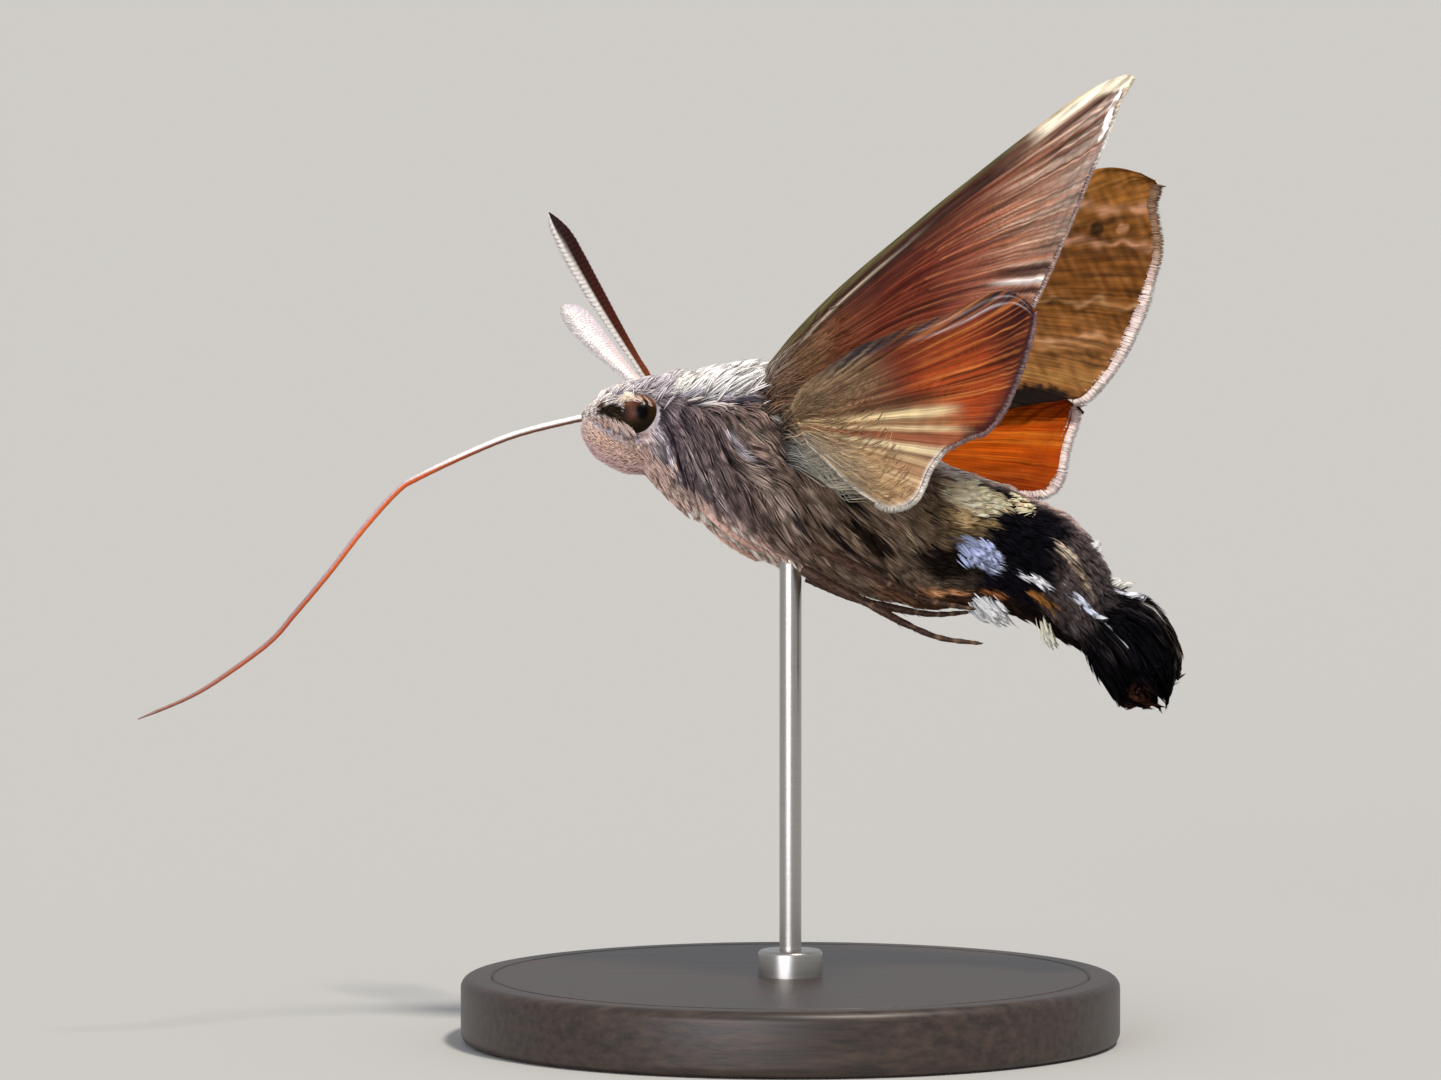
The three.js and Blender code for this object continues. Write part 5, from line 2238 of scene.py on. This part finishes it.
@dataclass
class Wing:
    """One wing: a thin scaled sheet with raised veins, a fringe, and fuzz at its root."""

    plan: WingPlan
    side: Side
    scaled: Any
    fur: Any
    sheet_mm: float = 0.07
    vein_mm: float = 0.04
    vein_half_mm: float = 0.12
    costa_mm: float = 0.1
    grid: tuple[int, int] = (190, 86)
    fringe_locks: int = 1900
    fuzz_locks: int = 1300
    root_locks: int = 1000

    def __post_init__(self) -> None:
        """Makes the sheet that the wing is laid on."""
        self.sheet = WingSheet(self.plan, self.side)
        self.name = f"{self.plan.name}_{self.side.word}"
        self.fringe_mm = 0.4 if self.side is Side.RIGHT else 0.24
        self.first, self.last = self.plan.front[0][0], self.plan.front[-1][0]

    def rng(self, seed: int) -> Any:
        """Random numbers of this wing."""
        return np.random.default_rng(SEED + seed + len(self.name) + self.side.value)

    def vein_gaps(self, s: Array, c: Array) -> Array:
        """Distance to the nearest vein, in mm.

        Args:
            s: Spans.
            c: Chords.

        Returns:
            A distance for each place.
        """
        flow, reach = self.plan.flow(s, c), self.plan.reach(s)
        gaps = [np.where(s >= start, np.abs(flow - way) * reach, 9.0) for way, start in self.plan.veins]
        return np.min(gaps, axis=0)

    def fore_under(self, spot: WingSpot) -> Array:
        """The forewing's underside: red-brown, grey-pink outside, with fine pale streaks.

        Args:
            spot: The places.

        Returns:
            Linear colours.
        """
        s, out, front = spot.s, spot.s + 3.0 * spot.q, spot.front
        colours = gradient(
            [
                (0, "#94785a"), (3, "#856449"), (5, "#663a26"), (7.5, "#501f15"), (10.4, "#58241a"),
                (12.2, "#7a4031"), (13.6, "#8a4f3c"), (15.4, "#9a664c"), (17.4, "#a07660"), (20, "#a08878"),
                (24, "#b0a096"),
            ],
            out,
        )
        grain = np.clip(0.16 * spot.noise(0.55, 55, (1.6, 2.2)), 0, 0.3)
        veins = bell(0, 0.06, spot.gap)
        tip = fall(0.72, 1.1, front - 0.3 * ramp(20, 21.6, s)) * ramp(16, 17.6, s)
        under_tip = bell(1.45, 0.17, front) * ramp(16, 17.5, s) * fall(20.4, 21.3, s)
        colours = layered(
            colours,
            ("#260e0b", spot.streaks(0.75, 0.5, 0.01, 51) * ramp(3, 6, s)),
            ("#a65838", spot.streaks(0.5, 0.34, 0.008, 52) * ramp(4, 8, out)),
            ("#dcc2ae", spot.streaks(0.5, 0.3, 0.0065, 53) * ramp(11.5, 16, out)),
            ("#40281f", spot.streaks(0.75, 0.5, 0.007, 54) * ramp(11, 14.5, out)),
            ("#4a2c22", grain * ramp(10, 14, out)),
            ("#b8744c", 0.4 * veins * ramp(6, 9, s)),
            ("#e4cdb8", 0.34 * veins * ramp(13, 17, out)),
            ("#2c1814", 0.45 * bell(0.13, 0.06, spot.gap) * ramp(8, 12, out)),
            ("#38201b", 0.6 * fall(1.1, 2.5, front) * ramp(3, 6, s) * fall(15, 17.5, s)),
            ("#2b1c18", 0.8 * fall(0.7, 1.25, front) * fall(13.5, 17, s)),
            ("#5a4438", 0.5 * fall(0.5, 1.6, front) * ramp(13.5, 16, s)),
            ("#c0b09a", 0.75 * bell(0.62, 0.07, front) * fall(6, 11, s)),
            ("#5a5236", fall(0.16, 0.34, front) * fall(15, 17.5, s)),
            ("#f4e6cc", tip),
            ("#c09c62", 0.6 * tip * fall(0.1, 0.3, front) * fall(20, 21.5, s)),
            ("#3a2822", 0.85 * under_tip),
        )
        past = ramp(11.5, 13.6, s)
        streaks = ((code, 0.9 * (bell(at, wide, spot.way) * past)) for at, wide, code in REAR_STREAKS)
        return self.with_marks(layered(colours, *streaks), spot, FORE_UNDER_MARKS)

    def fore_upper(self, spot: WingSpot) -> Array:
        """The forewing's upper side: brown with wavy dark and pinkish bands.

        Args:
            spot: The places.

        Returns:
            Linear colours.
        """
        # Bands run across the wing, slanting outwards to the rear
        place = spot.s - 1.6 * spot.c + 0.35 * spot.noise(2.6, 61) + 0.14 * spot.noise(0.8, 63)
        colours = gradient(
            [
                (-9, "#4a3a22"), (-2, "#684020"), (3, "#906234"), (6, "#85562c"), (9, "#6e4318"),
                (14, "#683e18"), (22, "#784c1e"),
            ],
            place,
        )
        mottle = spot.noise(1.1, 62, (2, 1))
        broken = np.clip(0.62 + 0.38 * spot.noise(1.2, 64), 0.15, 1)
        colours = layered(
            colours,
            ("#241509", np.clip(0.3 * mottle, 0, 0.4)),
            ("#9a6c44", np.clip(-0.2 * mottle, 0, 0.3)),
            *((code, strength * broken * bell(at, wide, place)) for at, wide, code, strength in FORE_BANDS),
        )
        return layered(
            self.with_marks(colours, spot, FORE_UPPER_MARKS),
            ("#2e1d10", 0.35 * bell(0, 0.06, spot.gap)),
            ("#241408", 0.85 * fall(0.1, 0.4, spot.rear) * ramp(11.5, 12.5, spot.s)),
        )

    def hind_under(self, spot: WingSpot) -> Array:
        """The hindwing's underside: red-brown to orange, with bands that lead to a cream-tan lobe.

        Args:
            spot: The places.

        Returns:
            Linear colours.
        """
        s, way, front, near = spot.s, spot.way, spot.front, spot.rear
        colours = gradient(
            [
                (0, "#866c50"), (3, "#785339"), (4.6, "#663824"), (6.2, "#682c1b"), (8.5, "#823618"),
                (10.2, "#6a2a1a"), (11.2, "#4a1f18"), (12.9, "#301518"),
            ],
            s,
        )
        warm = ramp(0.3, 0.5, way) * ramp(5.2, 7.4, s) * fall(9.4, 10.8, s)
        line = bell(0.72, 0.07, front) + 0.8 * bell(0.3, 0.05, front)
        reach = fall(6.4, 8.2, s)
        colours = layered(
            colours,
            ("#a4421c", 0.72 * warm),
            ("#4e241c", 0.8 * fall(0.1, 0.3, way) * ramp(3, 6, s)),
            ("#665440", 0.75 * fall(0.25, 0.65, way) * fall(3.8, 6, s)),
            ("#5c2a20", 0.75 * fall(0.5, 1.7, near) * ramp(7.2, 8.6, s)),
            ("#332b2e", fall(0.35, 0.75, front) * ramp(1.5, 4, s)),
            ("#b4abaa", 0.7 * line * ramp(6, 9, s)),
            ("#2c120c", spot.streaks(0.75, 0.55, 0.018, 71) * ramp(1.6, 4.5, s)),
            ("#c8743c", spot.streaks(0.5, 0.34, 0.014, 73) * ramp(5, 8, s)),
            ("#b8a07c", spot.streaks(0.5, 0.34, 0.02, 75) * fall(3.5, 6, s)),
            ("#d08444", 0.45 * bell(0, 0.055, spot.gap) * ramp(5, 8, s) * fall(11, 12.5, s)),
            ("#3c1c1e", 0.9 * fall(0.3, 0.8, near) * ramp(6.4, 7.6, s)),
            *((code, strength * bell(at, wide, way) * reach) for at, wide, code, strength in FOLD_BANDS),
        )
        lobe = layered(
            gradient([(0, "#b4b2a6"), (1.4, "#b0a088"), (2.8, "#a98862"), (5.5, "#a27a5a")], s),
            ("#dcc296", spot.streaks(0.6, 0.4, 0.08, 72)),
            ("#6c5038", spot.streaks(0.5, 0.36, 0.06, 74)),
        )
        colours = colours + (lobe - colours) * (ramp(1.1, 1.24, way) * fall(6.3, 7.2, s))[:, None]
        return mixed(colours, "#ded6cc", 0.8 * (fall(0.1, 0.5, near) * fall(5.4, 6.6, s)))

    def hind_upper(self, spot: WingSpot) -> Array:
        """The hindwing's upper side: bright orange with a brown base and dark rim.

        Args:
            spot: The places.

        Returns:
            Linear colours.
        """
        s, near = spot.s, spot.rear
        stops = (
            (0, "#4a3418"), (2.2, "#6e3c10"), (4.4, "#a04406"), (7.5, "#b84e05"), (10, "#b04804"),
            (13, "#8c3403"),
        )
        return layered(
            gradient(stops, s),
            ("#ffa838", spot.streaks(0.3, 0.2, 0.03, 81) * ramp(5, 7, s)),
            ("#b04c06", spot.streaks(0.5, 0.34, 0.022, 82)),
            ("#7c2a06", 0.88 * fall(0.6, 3.2, near) * (1 - 0.7 * ramp(8.6, 10.6, s))),
            ("#301a0c", 0.95 * fall(0.1, 0.34, near)),
            ("#a44e08", 0.5 * bell(0, 0.06, spot.gap)),
            ("#6a4a20", 0.8 * ramp(0.8, 1, spot.q) * fall(3, 5.5, s)),
        )

    def with_marks(self, colours: Array, spot: WingSpot, marks: Sequence[Mark]) -> Array:
        """Lays marks given by span and chord over a wing's colours.

        Args:
            colours: Linear colours.
            spot: The places.
            marks: The marks.

        Returns:
            The colours with marks.
        """
        noise = spot.noise(0.5, 91)
        for item in marks:
            weight = item.weight(spot.s - item.at, spot.c - item.across, noise)
            colours = mixed(colours, item.colour, weight)
        return colours

    def paint(self, s: Array, q: Array, c: Array, upper: Array) -> Array:
        """The colours of both sides of the wing.

        Args:
            s: Spans.
            q: Shares of the chord.
            c: Chords.
            upper: True on the upper side.

        Returns:
            Linear colours.
        """
        front, rear = self.sheet.edges(s)
        spot = WingSpot(s, q, c, self.plan.flow(s, c), self.vein_gaps(s, c), c - front, rear - c)
        fore = self.plan is FOREWING
        over, under = (self.fore_upper, self.fore_under) if fore else (self.hind_upper, self.hind_under)
        return np.where(upper[:, None], over(spot), under(spot))

    def margins(self, s: Array) -> tuple[Array, Array, Array]:
        """The wing's edges, and how far the sheet leaves the rear one to the fringe.

        Args:
            s: Spans.

        Returns:
            Chords of the front and rear edges, and the fringe's part in mm.
        """
        front, rear = self.sheet.edges(s)
        start = self.plan.fringe_from
        kept = self.fringe_mm * 0.8 * ramp(start - 0.8, start + 0.4, s)
        return front, rear, np.minimum(kept, (rear - front) * 0.4)

    def build_sheet(self) -> None:
        """Makes the wing's two faces, joined round its edge."""
        bm = bmesh.new()
        bmesh.ops.create_grid(bm, x_segments=self.grid[0], y_segments=self.grid[1], size=0.5)
        smooth(bm)
        copied = bmesh.ops.duplicate(bm, geom=bm.verts[:] + bm.edges[:] + bm.faces[:])["geom"]
        raised = [item for item in copied if isinstance(item, bmesh.types.BMVert)]
        bmesh.ops.translate(bm, verts=raised, vec=(0, 0, 1))
        bmesh.ops.bridge_loops(bm, edges=[edge for edge in bm.edges if edge.is_boundary])
        bmesh.ops.recalc_face_normals(bm, faces=bm.faces[:])
        mesh = mesh_from(bm, "wing")
        share = corners_of(mesh)
        upper = share[:, 2] > 0.5
        s = self.first + (self.last - self.first) * (1 - (0.5 - share[:, 0]) ** 1.3)
        front, rear, kept = self.margins(s)
        q = share[:, 1] + 0.5
        c = front + (rear - kept - front) * q
        rib = self.vein_mm * bell(0, self.vein_half_mm, self.vein_gaps(s, c)) * ramp(0.3, 2, s)
        costa = self.costa_mm * bell(0, 0.25, c - front) * (1 - 0.6 * ramp(10, 22, s))
        wave = 0.035 * ripple(np.column_stack((q * 9, s * 0.15)), 1.0, 101)
        edge = np.minimum(np.minimum(q, 1 - q) * 40, 1)
        half = self.sheet_mm / 2 * (0.5 + 0.5 * edge) + rib + costa
        set_corners(mesh, to_model(self.sheet.place(s, c, np.where(upper, half, -half) + wave)))
        mark(mesh, self.paint(s, q, c, upper), np.column_stack((self.plan.flow(s, c), s / FULL_SPAN)))
        if self.side is Side.RIGHT:
            mesh.flip_normals()
        finish_piece(mesh, f"{self.name}_sheet", self.scaled, self.plan.name, [self.name])

    def build_fringe(self) -> None:
        """Makes the fringe along the outer edge."""
        rng, shape, count = self.rng(200), SHORT_LOCK, self.fringe_locks
        start = self.plan.fringe_from
        s = rng.uniform(start, self.last - 0.05, count)
        _, rear, kept = self.margins(s)
        step = 0.06
        slope = (self.sheet.edges(s + step)[1] - self.sheet.edges(s - step)[1]) / (2 * step)
        size = np.hypot(slope, 1)
        out_s, out_c = -slope / size + 0.25, 1 / size
        back = rng.uniform(0.02, 0.16, count)
        length = self.fringe_mm * rng.uniform(0.85, 1.2, count) + back
        root_s, root_c = s - out_s * back, rear - kept - out_c * back
        height = rng.uniform(-0.045, 0.045, count)
        path = shape.trace(lambda level: self.sheet.place(
            root_s + out_s * length * level, root_c + out_c * length * level, height * (1 - 0.5 * level)
        ))
        rise = shape.repeat(self.sheet.outward(s, rear, height))
        colours = gradient(FRINGE_STOPS[self.name], s) * tones(rng, 0.11, count)
        patch = np.column_stack(((s - start) / (self.last - start), rng.uniform(0, 1, count)))
        width, tip = rng.uniform(0.07, 0.12, count), np.minimum(colours * 1.05, 0.95)
        # Roots are painted darker than tips: painted shade where the fringe meets the wing
        locks = Locks(path, rise, width, colours * 0.9, tip, patch)
        mesh = locks.mesh(shape, 0.3, rng.normal(0, 0.3, count))
        finish_piece(mesh, f"{self.name}_fringe", self.fur, self.plan.name)

    def build_fuzz(self) -> None:
        """Makes the long hairs that run out from the wing's root on both faces."""
        rng, shape, count = self.rng(300), LONG_LOCK, self.fuzz_locks
        reach = 4.2 if self.plan is FOREWING else 3.4
        s = self.first + reach * rng.uniform(0, 1, count) ** 1.5
        front, rear = self.sheet.edges(s)
        q = rng.uniform(0.06, 0.94, count)
        face = np.where(rng.uniform(0, 1, count) > 0.5, 1.0, -1.0)
        length = rng.uniform(0.6, 1.4, count) * (1 - 0.5 * (s - self.first) / reach)
        height = self.sheet_mm / 2 + rng.uniform(0.02, 0.1, count) * (1 - 0.6 * (s - self.first) / reach)
        bow = rng.normal(0, 0.03, count)

        def chord_at(level: float) -> Array:
            """Chords at one share of the hairs' length."""
            ahead, behind = self.sheet.edges(s + length * level)
            return ahead + (behind - ahead) * np.clip(q + bow * level, 0.02, 0.97)

        path = shape.trace(lambda level: self.sheet.place(
            s + length * level, chord_at(level),
            face * (0.02 + height * math.sin(math.pi * min(level, 0.75))),
        ))
        chord = front + (rear - front) * q
        rise = shape.repeat(self.sheet.outward(s, chord, np.zeros(count)) * face[:, None])
        upper = face > 0
        root = mixed(self.paint(s, q, chord, upper), "#876c54", 0.5 * fall(1, 4, s))
        tip = self.paint(s + length, np.clip(q + bow, 0, 1), chord_at(1.0), upper)
        tone = tones(rng, 0.2, count)
        patch = np.column_stack(((s - self.first) / reach, 0.5 * q + np.where(upper, 0.5, 0.0)))
        width, tip = rng.uniform(0.035, 0.065, count), np.minimum(tip * tone * 1.1, 0.95)
        # Roots are painted darker than tips: painted shade near the wing's surface
        locks = Locks(path, rise, width, root * tone * 0.85, tip, patch)
        mesh = locks.mesh(shape, 0.35, rng.normal(0, 0.3, count))
        finish_piece(mesh, f"{self.name}_fuzz", self.fur, self.plan.name)

    def build_root(self, trunk: Trunk, pelt: Pelt) -> None:
        """Makes the tufts that run from the thorax over the wing's root, on both faces.

        Args:
            trunk: The body's form.
            pelt: The coat's rules.
        """
        rng, shape, count = self.rng(400), LONG_LOCK, self.root_locks
        share = rng.uniform(0, 1, count)
        face = np.where(rng.uniform(0, 1, count) > 0.45, -1.0, 1.0)
        (a0, b0), (a1, b1) = WING_SEAMS[self.name]
        station = a0 + (a1 - a0) * share + face * rng.uniform(-0.3, 0.35 + 0.4 * share)
        angle = (b0 + (b1 - b0) * share - face * rng.uniform(-6, 10, count)) * self.side.value
        foot = trunk.place(station, angle, -0.5 * pelt.depth(station))
        away = trunk.outward(station, angle, np.zeros(count))
        s = self.first + rng.uniform(0.3, 2.8, count) * rng.uniform(0.3, 1, count)
        front, rear = self.sheet.edges(s)
        c = front + (rear - front) * (0.04 + 0.92 * share)
        end = self.sheet.place(s, c, face * rng.uniform(0.05, 0.16, count))
        along = unit(self.sheet.runs(s, c, face * 0.1)[0])
        far = np.linalg.norm(end - foot, axis=1)[:, None]
        first = foot + away * far * 0.28 + along * far * 0.12
        second = end - along * far * 0.36
        path = shape.trace(
            lambda t: (1 - t) ** 3 * foot + 3 * t * (1 - t) ** 2 * first
            + 3 * t * t * (1 - t) * second + t**3 * end
        )
        over = self.sheet.outward(s, c, np.zeros(count)) * face[:, None]
        low = share if self.plan is HINDWING else np.zeros(count)
        body = layered(
            pelt.colours(station, angle, foot),
            ("#8a6e54", np.full(count, 0.5)),
            ("#a2a6a4", 0.9 * ramp(0.3, 0.8, low)),
        )
        wing = layered(
            self.paint(s + 0.3, (c - front) / (rear - front), c, face > 0),
            ("#86694e", np.full(count, 0.4)),
            ("#a6a698", 0.6 * ramp(0.4, 0.9, low)),
        )
        tone = tones(rng, 0.2, count)
        patch = np.column_stack((share, 0.5 * rng.uniform(0, 1, count) + np.where(face > 0, 0.5, 0.0)))
        width = rng.uniform(0.05, 0.09, count)
        # Roots are painted darker than the body's coat: painted shade deep in the coat
        locks = Locks(path, shape.repeat(away * 0.5 + over), width, body * tone * 0.7, wing * tone, patch)
        mesh = locks.mesh(shape, 0.35, rng.normal(0, 0.3, count))
        finish_piece(mesh, f"{self.name}_root_tufts", self.fur, "thorax_coat")

    def build(self, trunk: Trunk, pelt: Pelt) -> None:
        """Makes the whole wing on the body.

        Args:
            trunk: The body's form.
            pelt: The coat's rules.
        """
        self.build_sheet()
        self.build_fringe()
        self.build_fuzz()
        self.build_root(trunk, pelt)


# Stand and studio


@dataclass
class Stand:
    """The display stand: a turned wooden base and a steel rod in a ferrule."""

    steps: int = 128
    edge_mm: float = 0.5
    arc: int = 6
    inset_mm: float = 0.8
    groove_mm: float = 0.12
    rod_mm: float = 0.5
    ferrule_mm: float = 1.2
    small_mm: float = 0.2
    crease: float = 35

    def __post_init__(self) -> None:
        """Reads the sizes that the frame gives, in metres."""
        low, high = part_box("stand_base")
        self.radius, self.top = (high.x - low.x) / 2, high.z
        low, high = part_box("stand_rod")
        self.ferrule_radius, self.rod_top = (high.x - low.x) / 2, high.z

    def turned(self, profile: Sequence[Two]) -> Any:
        """Spins a profile into a closed solid.

        Args:
            profile: Radius and height of its points, from axis to axis.

        Returns:
            The mesh.
        """
        bm = bmesh.new()
        verts = [bm.verts.new((r, 0, z)) for r, z in profile]
        edges = [bm.edges.new(pair) for pair in zip(verts, verts[1:])]
        bmesh.ops.spin(
            bm, geom=verts + edges, cent=(0, 0, 0), axis=(0, 0, 1), dvec=(0, 0, 0), angle=2 * math.pi,
            steps=self.steps, use_merge=True,
        )
        bmesh.ops.remove_doubles(bm, verts=bm.verts[:], dist=1e-7)
        bmesh.ops.recalc_face_normals(bm, faces=bm.faces[:])
        smooth(bm)
        for line in bm.edges:
            line.smooth = line.calc_face_angle(0) <= math.radians(self.crease)
        return mesh_from(bm, "turned")

    def rounded(self, radius: float, height: float, size: float) -> list[Two]:
        """The points of an outer edge rounded at a corner, going upwards or inwards."""
        turns = [math.pi / 2 * k / self.arc for k in range(self.arc + 1)]
        return [(radius - size * (1 - math.cos(t)), height - size * (1 - math.sin(t))) for t in turns]

    def build(self) -> None:
        """Makes the base and the rod."""
        size, groove, top = self.edge_mm * MM, self.groove_mm * MM, self.top
        upper = self.rounded(self.radius, top, size)
        lower = [(r, top - z) for r, z in reversed(upper)]
        rim = self.radius - size - self.inset_mm * MM
        face = [(rim, top), (rim - groove, top - groove), (rim - 2 * groove, top)]
        wood = self.turned([(0, 0), *lower, *upper, *face, (0, top)])
        finish_piece(wood, "stand_base_turned", WoodFinish().build(), "stand_wood", ["stand_base"])
        rod, ferrule, small = (value * MM for value in (self.rod_mm, self.ferrule_mm, self.small_mm))
        collar = self.rounded(self.ferrule_radius, top + ferrule, small)
        point = self.rounded(rod, self.rod_top, small)
        foot = [(0, top), (self.ferrule_radius, top)]
        steel = self.turned([*foot, *collar, (rod, top + ferrule), *point, (0, self.rod_top)])
        finish_piece(steel, "stand_rod_steel", SteelFinish().build(), "stand_steel", ["stand_rod"])


@dataclass
class Studio:
    """Floor, light and camera."""

    floor_size: float = 14.0
    view_mm: tuple[float, float, float] = (-3.178, 0.962, 22.80)
    distance: float = 0.5
    tilt: float = 4
    width_mm: float = 65.5
    sensor: float = 36.0
    sky: str = "#e9ecf2"
    sky_power: float = 0.6
    clip: Two = (0.01, 50)
    # Each light's name, direction from the moth, strength, apparent size in degrees, and colour
    suns: tuple[tuple, ...] = (
        ("key", (0.3, -0.4, 1.0), 2.7, 8, "#fff6ea"), ("fill", (-0.4, -1.0, 0.06), 2.85, 40, "#f6f5fc"),
    )

    def build_floor(self) -> None:
        """Lays a plain pale floor under the stand."""
        bm = bmesh.new()
        bmesh.ops.create_grid(bm, x_segments=1, y_segments=1, size=self.floor_size / 2)
        mesh = mesh_from(bm, "floor")
        mesh.materials.append(FloorFinish().build())
        floor = placed("floor", mesh)

    def build_lights(self) -> None:
        """Sets a soft sky, a key light high on the right and a fill in front."""
        world = bpy.data.worlds.new("sky")
        world.use_nodes = True
        back = world.node_tree.nodes["Background"]
        feed(world.node_tree, back, {"Color": (*linear(self.sky), 1), "Strength": self.sky_power})
        scene = bpy.context.scene
        scene.world = world
        scene.view_settings.view_transform = "Standard"
        for name, toward, power, breadth, tint in self.suns:
            light = bpy.data.lights.new(name, "SUN")
            light.energy = power
            light.angle = math.radians(breadth)
            light.color = tuple(linear(tint))
            placed(name, light).rotation_euler = Vector(toward).to_track_quat("Z", "Y").to_euler()

    def build_camera(self) -> None:
        """Puts the camera where the moth looks as it does in the picture."""
        tilt = math.radians(self.tilt)
        back = np.array([0, -math.cos(tilt), math.sin(tilt)])
        data = bpy.data.cameras.new("camera")
        data.sensor_width = self.sensor
        data.lens = self.sensor * self.distance / (self.width_mm * MM)
        data.clip_start, data.clip_end = self.clip
        camera = placed("camera", data)
        camera.location = np.array(self.view_mm) * MM + back * self.distance
        camera.rotation_euler = (math.pi / 2 - tilt, 0, 0)
        bpy.context.scene.camera = camera

    def build(self) -> None:
        """Makes the whole studio."""
        self.build_floor()
        self.build_lights()
        self.build_camera()


def main() -> None:
    """Builds the moth, its stand and the studio."""
    logging.basicConfig(level=logging.INFO, format="%(name)s %(message)s")
    fur, skin, scaled, horn, tube = (finish.value.build() for finish in Finish)
    cornea = EyeFinish().build()
    Studio().build()
    body = Body(fur, skin)
    body.build()
    for side in Side:
        Eye(side, cornea).build()
        Antenna(side, horn, fur).build()
        for pair in Pair:
            Leg(pair, side, horn, fur).build()
        for plan in (FOREWING, HINDWING):
            Wing(plan, side, scaled, fur).build(body.trunk, body.pelt)
    Proboscis(tube).build()
    Stand().build()


if __name__ == "__main__":
    main()
